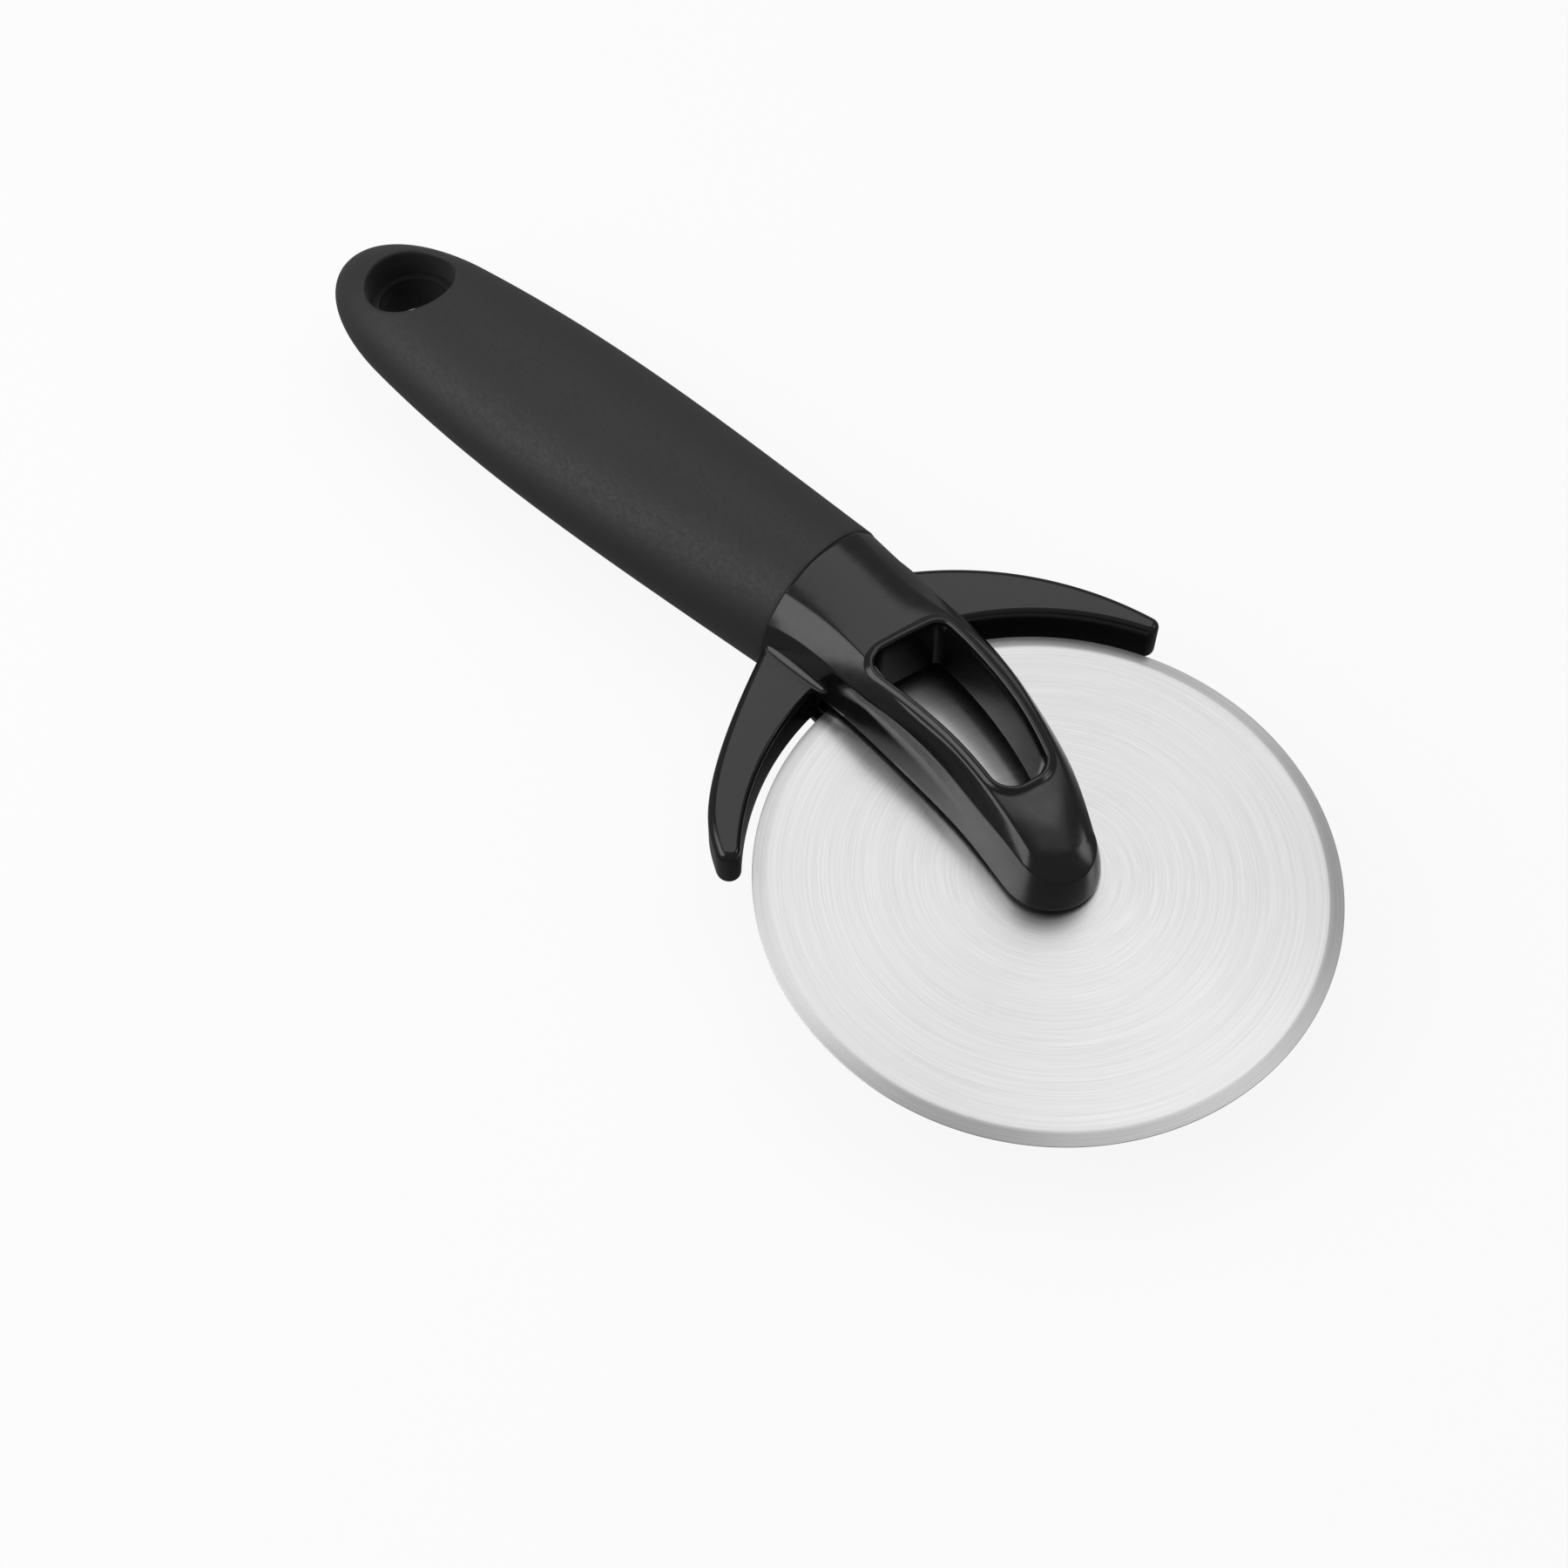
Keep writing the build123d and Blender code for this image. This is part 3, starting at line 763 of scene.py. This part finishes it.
def joined(name, meshes, sharp_degrees=smooth_degrees):
    """One mesh of several closed meshes."""
    work = bmesh.new()
    for mesh in meshes:
        work.from_mesh(mesh)
    result = bpy.data.meshes.new(name)
    work.to_mesh(result)
    work.free()
    for mesh in meshes:
        bpy.data.meshes.remove(mesh)
    result.set_sharp_from_angle(angle=radians(sharp_degrees))
    return result


# Handle grip, drawn along X from the seam

def handle_span():
    """Distances from the seam to the handle's end, its hanging hole and its round end."""
    far_reach = overall_length - wheel_radius
    seam_along = seam_point @ handle_axis
    length = sqrt(seam_along ** 2 + far_reach ** 2 - seam_point @ seam_point) - seam_along
    return length, length - hole_from_end, length - handle_tip_length


def grip_outline():
    """Half outline of the grip: distance from the seam, half width and half thickness."""
    length, hole_place, tip_place = handle_span()
    halves = [(width * handle_width / 2, thickness * handle_thickness / 2)
              for width, thickness in zip(width_shares, thickness_shares)]
    end_width, end_thickness = halves[-1]
    shares = np.linspace(0, 1, grip_outline_count)
    body = np.c_[shares * tip_place, bezier(halves, shares)]
    end = length - tip_place
    tip = bezier([(0, end_width), (tip_reach_share * end, tip_width_shares[0] * end_width),
                  (end, tip_width_shares[1] * end_width), (end, 0)], shares)
    tip = np.c_[tip[:, 0] + tip_place, tip[:, 1], tip[:, 1] * end_thickness / end_width]
    return np.vstack([body, tip[1:]]), hole_place


def grip_half(skin, hole_radius, side):
    """One half of the grip, with its hanging hole; side is 1 above, -1 below."""
    outline, hole_place = grip_outline()
    junction = hole_place - hole_patch_reach

    def level(plan):
        half = np.maximum(np.interp(plan[:, 0], outline[:, 0], outline[:, 1]), near_zero)
        thick = np.interp(plan[:, 0], outline[:, 0], outline[:, 2])
        return thick * np.sqrt(np.maximum(1 - (plan[:, 1] / half) ** 2, 0))

    lengths = np.r_[0, np.cumsum(np.linalg.norm(np.diff(outline[:, :2], axis=0), axis=1))]
    start = np.interp(junction, outline[:, 0], lengths)
    even = np.linspace(start, lengths[-1], grip_rim_count)
    rim = np.c_[np.interp(even, lengths, outline[:, 0]), np.interp(even, lengths, outline[:, 1])]
    rim[0, 0] = junction
    loop = np.vstack([rim * [1, -1], rim[-2::-1]])
    turn = np.linspace(pi, 0, grip_columns)
    half = np.interp(junction, outline[:, 0], outline[:, 1])
    back = np.c_[np.full(grip_columns - 2, junction), -half * np.cos(turn[::-1][1:-1])][::-1]
    outer = np.vstack([loop, back])
    is_back = np.arange(len(outer)) >= len(loop)
    centre = np.array([hole_place, 0.0])
    rays = unit(outer - centre)
    rings = []
    edge = centre + rays * (hole_radius + hole_rim_round)
    wall = centre + rays * hole_radius
    top = level(edge)
    for share in np.linspace(0, 1, hole_wall_rows)[:-1]:
        rings.append(np.c_[wall, (top - hole_rim_round) * share])
    for angle in np.linspace(0, pi / 2, hole_rim_rows):
        plan = centre + rays * (hole_radius + hole_rim_round * (1 - cos(angle)))
        blend = level(plan) * sin(angle) + top * (1 - sin(angle))
        rings.append(np.c_[plan, blend - hole_rim_round * (1 - sin(angle))])
    for share in np.linspace(0, 1, grip_patch_rows)[1:]:
        spaced = np.where(is_back, share, sin(share * pi / 2))[:, None]
        plan = edge + (outer - edge) * spaced
        height = level(plan)
        if share == 1:
            height = np.where(is_back, height, 0)
        rings.append(np.c_[plan, height])
    rings = [ring * [1, 1, side] for ring in rings]
    skin.grid([placed(ring) for ring in rings], closed=True)

    places = np.r_[np.linspace(junction, grip_end_round, grip_rows), grip_end_places]
    insets = np.r_[np.zeros(grip_rows), grip_end_insets]
    rows = []
    for place, shrink in zip(places, insets):
        half = np.interp(place, outline[:, 0], outline[:, 1])
        thick = np.interp(place, outline[:, 0], outline[:, 2])
        row = np.c_[np.full(grip_columns, place), -half * np.cos(turn[::-1]), thick * np.sin(turn)]
        if shrink:
            row[:, 1:] *= 1 - shrink / half
        rows.append(row * [1, 1, side])
    rows[0] = np.vstack([[junction, -rim[0, 1], 0], rings[-1][len(loop):][::-1],
                         [junction, rim[0, 1], 0]])
    skin.grid([placed(row) for row in rows])
    return rings, rows


def placed(points):
    """Points of the handle put in place behind the seam."""
    points = np.asarray(points, float)
    return (seam_point + points[:, :1] * handle_axis + points[:, 1:2] * -across_axis
            + points[:, 2:] * np.array([0, 0, 1.0]))


def grip_skin():
    """Soft grip as a closed skin with a tunnel for the hanging hole."""
    skin = Skin()
    ends, tunnels = [], []
    for side, radius in ((1, grip_hole_radius), (-1, lower_hole_radius)):
        rings, rows = grip_half(skin, radius, side)
        ends.append(rows[-1])
        tunnels.append(placed(rings[0]))
    skin.grid(tunnels, closed=True)
    skin.cap(placed(np.vstack([ends[0], ends[1][::-1][1:-1]])))
    return skin


# Turned pieces: one tree turns a profile about the axle

def node(tree, kind, settings=None, links=None):
    """Adds a node, sets its fields and sockets, and links its inputs."""
    made = tree.nodes.new(kind)
    for field, value in (settings or {}).items():
        if isinstance(field, str) and hasattr(made, field):
            setattr(made, field, value)
        else:
            made.inputs[field].default_value = value
    for socket, source in (links or {}).items():
        tree.links.new(source, made.inputs[socket])
    return made


def lathe_tree():
    """Geometry nodes that turn the object's own profile line about the Z axis."""
    tree = bpy.data.node_groups.new("turned_profile", "GeometryNodeTree")
    face = tree.interface
    face.new_socket("Profile", in_out="INPUT", socket_type="NodeSocketGeometry")
    for name, kind in (("Path Radius", "NodeSocketFloat"), ("Steps", "NodeSocketInt"),
                       ("Finish", "NodeSocketMaterial")):
        face.new_socket(name, in_out="INPUT", socket_type=kind)
    face.new_socket("Turned", in_out="OUTPUT", socket_type="NodeSocketGeometry")
    given = node(tree, "NodeGroupInput")
    line = node(tree, "GeometryNodeMeshToCurve", links={"Mesh": given.outputs["Profile"]})
    path = node(tree, "GeometryNodeCurvePrimitiveCircle", links={
        "Resolution": given.outputs["Steps"], "Radius": given.outputs["Path Radius"]})
    swept = node(tree, "GeometryNodeCurveToMesh", links={
        "Curve": path.outputs["Curve"], "Profile Curve": line.outputs["Curve"]})
    real = node(tree, "GeometryNodeRealizeInstances", links={"Geometry": swept.outputs["Mesh"]})
    dressed = node(tree, "GeometryNodeSetMaterial", links={
        "Geometry": real.outputs["Geometry"], "Material": given.outputs["Finish"]})
    node(tree, "NodeGroupOutput", links={"Turned": dressed.outputs["Geometry"]})
    return tree


def turned(name, profile, finish, steps, sharp_degrees):
    """Closed mesh of a profile of (radius, level) points, in millimetres, turned about the axle."""
    path_radius = max(radius for radius, level in profile)
    line = bpy.data.meshes.new(name + "_profile")
    points = [((radius - path_radius) * mm, level * mm, 0.0) for radius, level in profile]
    edges = [(place, (place + 1) % len(points)) for place in range(len(points))]
    line.from_pydata(points, edges, [])
    thing = linked(name + "_profile", line)
    modifier = thing.modifiers.new("turned", "NODES")
    modifier.node_group = lathe
    wanted = {"Path Radius": path_radius * mm, "Steps": steps, "Finish": finish}
    for item in lathe.interface.items_tree:
        if item.in_out == "INPUT" and item.name in wanted:
            modifier[item.identifier] = wanted[item.name]
    graph = bpy.context.evaluated_depsgraph_get()
    mesh = bpy.data.meshes.new_from_object(thing.evaluated_get(graph))
    bpy.data.objects.remove(thing)
    bpy.data.meshes.remove(line)
    mesh.name = name
    mesh.transform(Matrix.Translation(Vector(axle) * mm))
    return closed_up(mesh, sharp_degrees)


# Materials: each grain has a size in mm, a detail and sometimes a stretch, the bump a depth in mm
# and a strength, and the shine spreads round the roughness of the finish

grain_roughness = 0.5
noise_low = 0.3                # where a grain's values mostly lie
noise_high = 0.7
# ABS and polypropylene from a satin-polished mould: even, with a trace of mould grain
abs_look = {"tint": (6.0, 2.0), "shine": (1.4, 4.0), "spread": (-0.03, 0.04), "relief": (0.35, 3.0),
            "bump": (0.006, 0.5), "fixed": {"IOR": 1.53}}
# Thermoplastic rubber from a spark-eroded mould: matt, with a very fine even grain
tpe_look = {"tint": (9.0, 3.0), "shine": (0.8, 3.0), "spread": (0.0, 0.12), "relief": (0.45, 2.0),
            "bump": (0.03, 0.6), "fixed": {"IOR": 1.48, "Sheen Weight": 0.08, "Sheen Roughness": 0.5}}
# Zinc-plated steel, bright stainless and turned brass: clear, a little cloudy
metal_look = {"tint": (1.2, 3.0), "shine": (0.5, 2.0), "spread": (-0.05, 0.08), "relief": (0.2, 2.0),
              "bump": (0.004, 0.3), "fixed": {"Metallic": 1.0}}
# Acetal, waxy, with faint turning marks
acetal_look = {"tint": (3.0, 2.0), "shine": (0.6, 3.0), "spread": (0.0, 0.1),
               "relief": (0.3, 2.0, (0.1, 0.1, 1.0)), "bump": (0.008, 0.4), "fixed": {"IOR": 1.48}}


def linear(code):
    """Linear colour of an sRGB hex code."""
    parts = [int(code[place:place + 2], 16) / 255 for place in (1, 3, 5)]
    return tuple(part / 12.92 if part <= 0.04045 else ((part + 0.055) / 1.055) ** 2.4
                 for part in parts) + (1.0,)


def material(name):
    """New material with its tree, shader and output."""
    made = bpy.data.materials.new(name)
    made.use_nodes = True
    tree = made.node_tree
    return made, tree, tree.nodes["Principled BSDF"]


def grain(tree, size_mm, detail, stretch=None):
    """Noise whose features are about size_mm across, on Object coordinates."""
    where = node(tree, "ShaderNodeTexCoord").outputs["Object"]
    if stretch:
        where = node(tree, "ShaderNodeMapping", {"Scale": stretch}, {"Vector": where}).outputs[0]
    settings = {"Scale": 1 / (size_mm * mm), "Detail": detail, "Roughness": grain_roughness}
    return node(tree, "ShaderNodeTexNoise", settings, {"Vector": where}).outputs["Fac"]


def ranged(tree, value, low, high):
    """Value spread over a new range."""
    settings = {"From Min": noise_low, "From Max": noise_high, "To Min": low, "To Max": high}
    return node(tree, "ShaderNodeMapRange", settings, {"Value": value}).outputs["Result"]


def tinted(tree, value, dark, light):
    """Colour between two hex codes."""
    mix = node(tree, "ShaderNodeMix", {"data_type": "RGBA"})
    tree.links.new(value, mix.inputs[0])
    mix.inputs[6].default_value = linear(dark)
    mix.inputs[7].default_value = linear(light)
    return mix.outputs[2]


def grained(name, look, dark, light, roughness):
    """Material whose tint, shine and relief each have their own grain."""
    made, tree, shader = material(name)
    tint = tinted(tree, grain(tree, *look["tint"]), dark, light)
    tree.links.new(tint, shader.inputs["Base Color"])
    low, high = look["spread"]
    shine = ranged(tree, grain(tree, *look["shine"]), roughness + low, roughness + high)
    tree.links.new(shine, shader.inputs["Roughness"])
    for socket, value in look["fixed"].items():
        shader.inputs[socket].default_value = value
    depth, strength = look["bump"]
    bump = node(tree, "ShaderNodeBump", {"Strength": strength, "Distance": depth * mm},
                {"Height": grain(tree, *look["relief"])})
    tree.links.new(bump.outputs["Normal"], shader.inputs["Normal"])
    return made


ring_pitch = 0.22              # between turning marks on the blade, mm
stroke_turn = 1.8              # how often a mark breaks off on its way round


def turned_steel():
    """Stainless strip, faced on a lathe: pale grey with fine rings and a sheen that fans out."""
    made, tree, shader = material("stainless_turned")
    centre = Vector(axle) * mm
    where = node(tree, "ShaderNodeTexCoord").outputs["Object"]
    offset = node(tree, "ShaderNodeVectorMath", {"operation": "SUBTRACT", 1: tuple(centre)}, {0: where})
    flat = node(tree, "ShaderNodeVectorMath", {"operation": "MULTIPLY", 1: (1.0, 1.0, 0.0)},
                {0: offset.outputs[0]})
    radius = node(tree, "ShaderNodeVectorMath", {"operation": "LENGTH"}, {0: flat.outputs[0]})
    outward = node(tree, "ShaderNodeVectorMath", {"operation": "NORMALIZE"}, {0: flat.outputs[0]})
    stroke = node(tree, "ShaderNodeVectorMath", {"operation": "SCALE", "Scale": stroke_turn},
                  {0: outward.outputs[0]})
    across = node(tree, "ShaderNodeMath", {"operation": "DIVIDE", 1: ring_pitch * mm},
                  {0: radius.outputs["Value"]})
    level = node(tree, "ShaderNodeCombineXYZ", links={"Z": across.outputs[0]})
    polar = node(tree, "ShaderNodeVectorMath", {"operation": "ADD"},
                 {0: stroke.outputs[0], 1: level.outputs[0]})
    rings = node(tree, "ShaderNodeTexNoise", {"Scale": 1.0, "Detail": 2.0, "Roughness": 0.6},
                 {"Vector": polar.outputs[0]})
    tree.links.new(tinted(tree, ranged(tree, rings.outputs["Fac"], 0, 1), "#cfcfcf", "#dddddd"),
                   shader.inputs["Base Color"])
    tree.links.new(ranged(tree, rings.outputs["Fac"], 0.28, 0.295), shader.inputs["Roughness"])
    shader.inputs["Metallic"].default_value = 1.0
    shader.inputs["Anisotropic"].default_value = 0.55
    shader.inputs["Anisotropic Rotation"].default_value = 0.25
    tangent = node(tree, "ShaderNodeVectorMath", {"operation": "CROSS_PRODUCT", 0: (0.0, 0.0, 1.0)},
                   {1: flat.outputs[0]})
    tree.links.new(tangent.outputs[0], shader.inputs["Tangent"])
    return made


fork_finish = grained("abs_gloss_black", abs_look, "#0d0d0d", "#111111", 0.19)
cap_finish = grained("abs_satin_black", abs_look, "#101010", "#141414", 0.38)
core_finish = grained("polypropylene_black", abs_look, "#161616", "#1b1b1b", 0.45)
grip_finish = grained("tpe_soft_grip", tpe_look, "#242424", "#292929", 0.5)
blade_finish = turned_steel()
screw_finish = grained("steel_zinc_plated", metal_look, "#9a9da0", "#b4b6b8", 0.32)
bright_finish = grained("stainless_bright", metal_look, "#b8b8b8", "#c8c8c8", 0.22)
insert_finish = grained("brass_turned", metal_look, "#b08a3c", "#c9a250", 0.28)
bush_finish = grained("acetal_black", acetal_look, "#1b1b1b", "#202020", 0.4)
lathe = lathe_tree()


# Pieces

def make_forks():
    """Both fork halves."""
    for name, flip in (("fork_upper", False), ("fork_lower", True)):
        skins = [arm_skin(), guard_skin(1), guard_skin(-1), fillet_skin(1), fillet_skin(-1)]
        if flip:
            skins = [turned_over(skin) for skin in skins]
        meshes = [skin.mesh(f"{name}_skin_{place}") for place, skin in enumerate(skins)]
        if flip:
            meshes[0] = drilled(meshes[0], well_places())
        shell = joined(name + "_shell", meshes)
        piece(name + "_shell", shell, "frame", fork_finish, [name])


def make_grip():
    """Soft grip over the core."""
    mesh = grip_skin().mesh("grip_skin", grip_smooth_degrees)
    piece("grip_sleeve", mesh, "frame", grip_finish, ["soft_grip"])


def make_blade():
    """Disc with its ground land, edges a touch rounded."""
    land = wheel_radius - bevel_width
    half = blade_half_thickness
    slope = (half - edge_half_thickness) / bevel_width
    upper = [(blade_bore_radius, half - blade_edge_round), (blade_bore_radius + blade_edge_round, half)]
    face = np.linspace(blade_bore_radius + blade_first_ring, land - blade_last_ring, blade_face_rings)
    upper += [(radius, half) for radius in face]
    upper += [(land - land_start_round, half), (land + land_start_round, half - land_start_round * slope)]
    bevel = np.linspace(land + bevel_first_ring, wheel_radius - bevel_last_ring, bevel_rings)
    upper += [(radius, half - (radius - land) * slope) for radius in bevel]
    upper += [(wheel_radius, edge_half_thickness * rim_share)]
    profile = upper + [(radius, -level) for radius, level in reversed(upper)]
    mesh = turned("blade_disc", profile, blade_finish, blade_steps, blade_smooth_degrees)
    piece("blade_disc", mesh, "wheel", blade_finish, ["blade_wheel"])


def dress_cad_nodes():
    """Finishes of the pieces whose solids already have the right shape."""
    finishes = {"fork_screws": screw_finish, "axle_sleeve": bright_finish, "axle_screw": screw_finish,
                "axle_insert": insert_finish, "axle_cap": cap_finish,
                "thrust_washer_upper": bright_finish, "thrust_washer_lower": bright_finish,
                "handle_core": core_finish, "tang_pin": screw_finish, "hub_bush": bush_finish}
    for name, finish in finishes.items():
        thing = frame["nodes"][name]
        for slot in thing.material_slots:
            slot.material = finish


# Camera, floor and lights

camera_azimuth = radians(58.25)
camera_elevation = radians(57.138)
camera_roll = radians(0.006)
camera_distance = 351.98
focal_pixels = 2650.0
photo_width = 1800.0
wheel_pixel = (1201.806, 1003.867)
sensor_width = 36.0
near_clip = 0.01               # metres
light_aim = (-40.0, 0.0, 0.0)
world_light = 0.25
floor_reach = 2000.0
floor_glow_share = 0.9
# Name, bearing and height in degrees, distance, width and height in mm, and brightness of each lamp
lamps = [
    ("behind", 146.0, 60.0, 700.0, 700.0, 600.0, 0.95),
    ("above", 72.0, 70.0, 700.0, 360.0, 360.0, 0.45),
    ("left", -112.0, 36.0, 600.0, 600.0, 380.0, 2.3),
    ("right", 57.0, 34.0, 700.0, 200.0, 200.0, 2.2),
]


def set_camera():
    """Camera where the picture was taken from."""
    a, e, r = camera_azimuth, camera_elevation, camera_roll
    back = np.array([sin(a) * cos(e), -cos(a) * cos(e), sin(e)])
    right = np.array([cos(a), sin(a), 0])
    up = np.cross(back, right)
    rolled_right = right * cos(r) + up * sin(r)
    rolled_up = up * cos(r) - right * sin(r)
    middle = photo_width / 2
    seen = np.array([wheel_pixel[0] - middle, middle - wheel_pixel[1]]) / focal_pixels * camera_distance
    place = axle + back * camera_distance - rolled_right * seen[0] - rolled_up * seen[1]
    data = bpy.data.cameras.new("camera")
    data.sensor_width = sensor_width
    data.lens = focal_pixels / photo_width * sensor_width
    data.clip_start = near_clip
    camera = linked("camera", data)
    matrix = Matrix.Identity(4)
    for column, vector in enumerate((rolled_right, rolled_up, back)):
        for row in range(3):
            matrix[row][column] = vector[row]
    matrix.translation = Vector(place) * mm
    camera.matrix_world = matrix
    bpy.context.scene.camera = camera


def soft_box(name, azimuth, elevation, distance, width, height, brightness):
    """Rectangular studio lamp aimed at the tool; brightness 1 looks as bright as white paper."""
    data = bpy.data.lights.new(name, "AREA")
    data.shape = "RECTANGLE"
    data.size = width * mm
    data.size_y = height * mm
    data.energy = brightness * pi * data.size * data.size_y
    lamp = linked(name, data)
    turn, lift = radians(azimuth), radians(elevation)
    way = Vector((cos(turn) * cos(lift), sin(turn) * cos(lift), sin(lift)))
    end = Vector(axle + np.array(light_aim)) * mm
    start = end + way * distance * mm
    lamp.location = start
    lamp.rotation_euler = (start - end).to_track_quat("Z", "Y").to_euler()


def set_world():
    """White to the camera, softer light on the object."""
    world = bpy.data.worlds.new("studio")
    bpy.context.scene.world = world
    world.use_nodes = True
    tree = world.node_tree
    tree.nodes.clear()
    path = node(tree, "ShaderNodeLightPath")
    seen = node(tree, "ShaderNodeBackground", {"Color": linear("#ffffff"), "Strength": 1.0})
    light = node(tree, "ShaderNodeBackground", {"Color": linear("#ffffff"), "Strength": world_light})
    mix = node(tree, "ShaderNodeMixShader", links={0: path.outputs["Is Camera Ray"],
                                                   1: light.outputs[0], 2: seen.outputs[0]})
    node(tree, "ShaderNodeOutputWorld", links={"Surface": mix.outputs[0]})


def set_floor():
    """Wide pale floor under the tool."""
    reach = floor_reach * mm
    mesh = bpy.data.meshes.new("floor")
    mesh.from_pydata([(-reach, -reach, 0), (reach, -reach, 0), (reach, reach, 0), (-reach, reach, 0)],
                     [], [(0, 1, 2, 3)])
    floor = linked("floor", mesh)
    made, tree, shader = material("paper_white")
    path = node(tree, "ShaderNodeLightPath")
    tree.links.new(tinted(tree, path.outputs["Is Camera Ray"], "#8c8c8c", "#fafafa"),
                   shader.inputs["Base Color"])
    shader.inputs["Roughness"].default_value = 0.9
    shader.inputs["Specular IOR Level"].default_value = 0.1
    glow = node(tree, "ShaderNodeEmission", {"Color": linear("#ffffff"), "Strength": 1.0})
    share = node(tree, "ShaderNodeMath", {"operation": "MULTIPLY", 1: floor_glow_share},
                 {0: path.outputs["Is Camera Ray"]})
    mix = node(tree, "ShaderNodeMixShader", links={0: share.outputs[0], 1: shader.outputs[0],
                                                   2: glow.outputs[0]})
    output = next(each for each in tree.nodes if each.type == "OUTPUT_MATERIAL")
    tree.links.new(mix.outputs[0], output.inputs["Surface"])
    mesh.materials.append(made)


make_blade()
make_forks()
make_grip()
dress_cad_nodes()
set_camera()
set_world()
set_floor()
for lamp_values in lamps:
    soft_box(*lamp_values)

bpy.context.scene.view_settings.view_transform = "Standard"
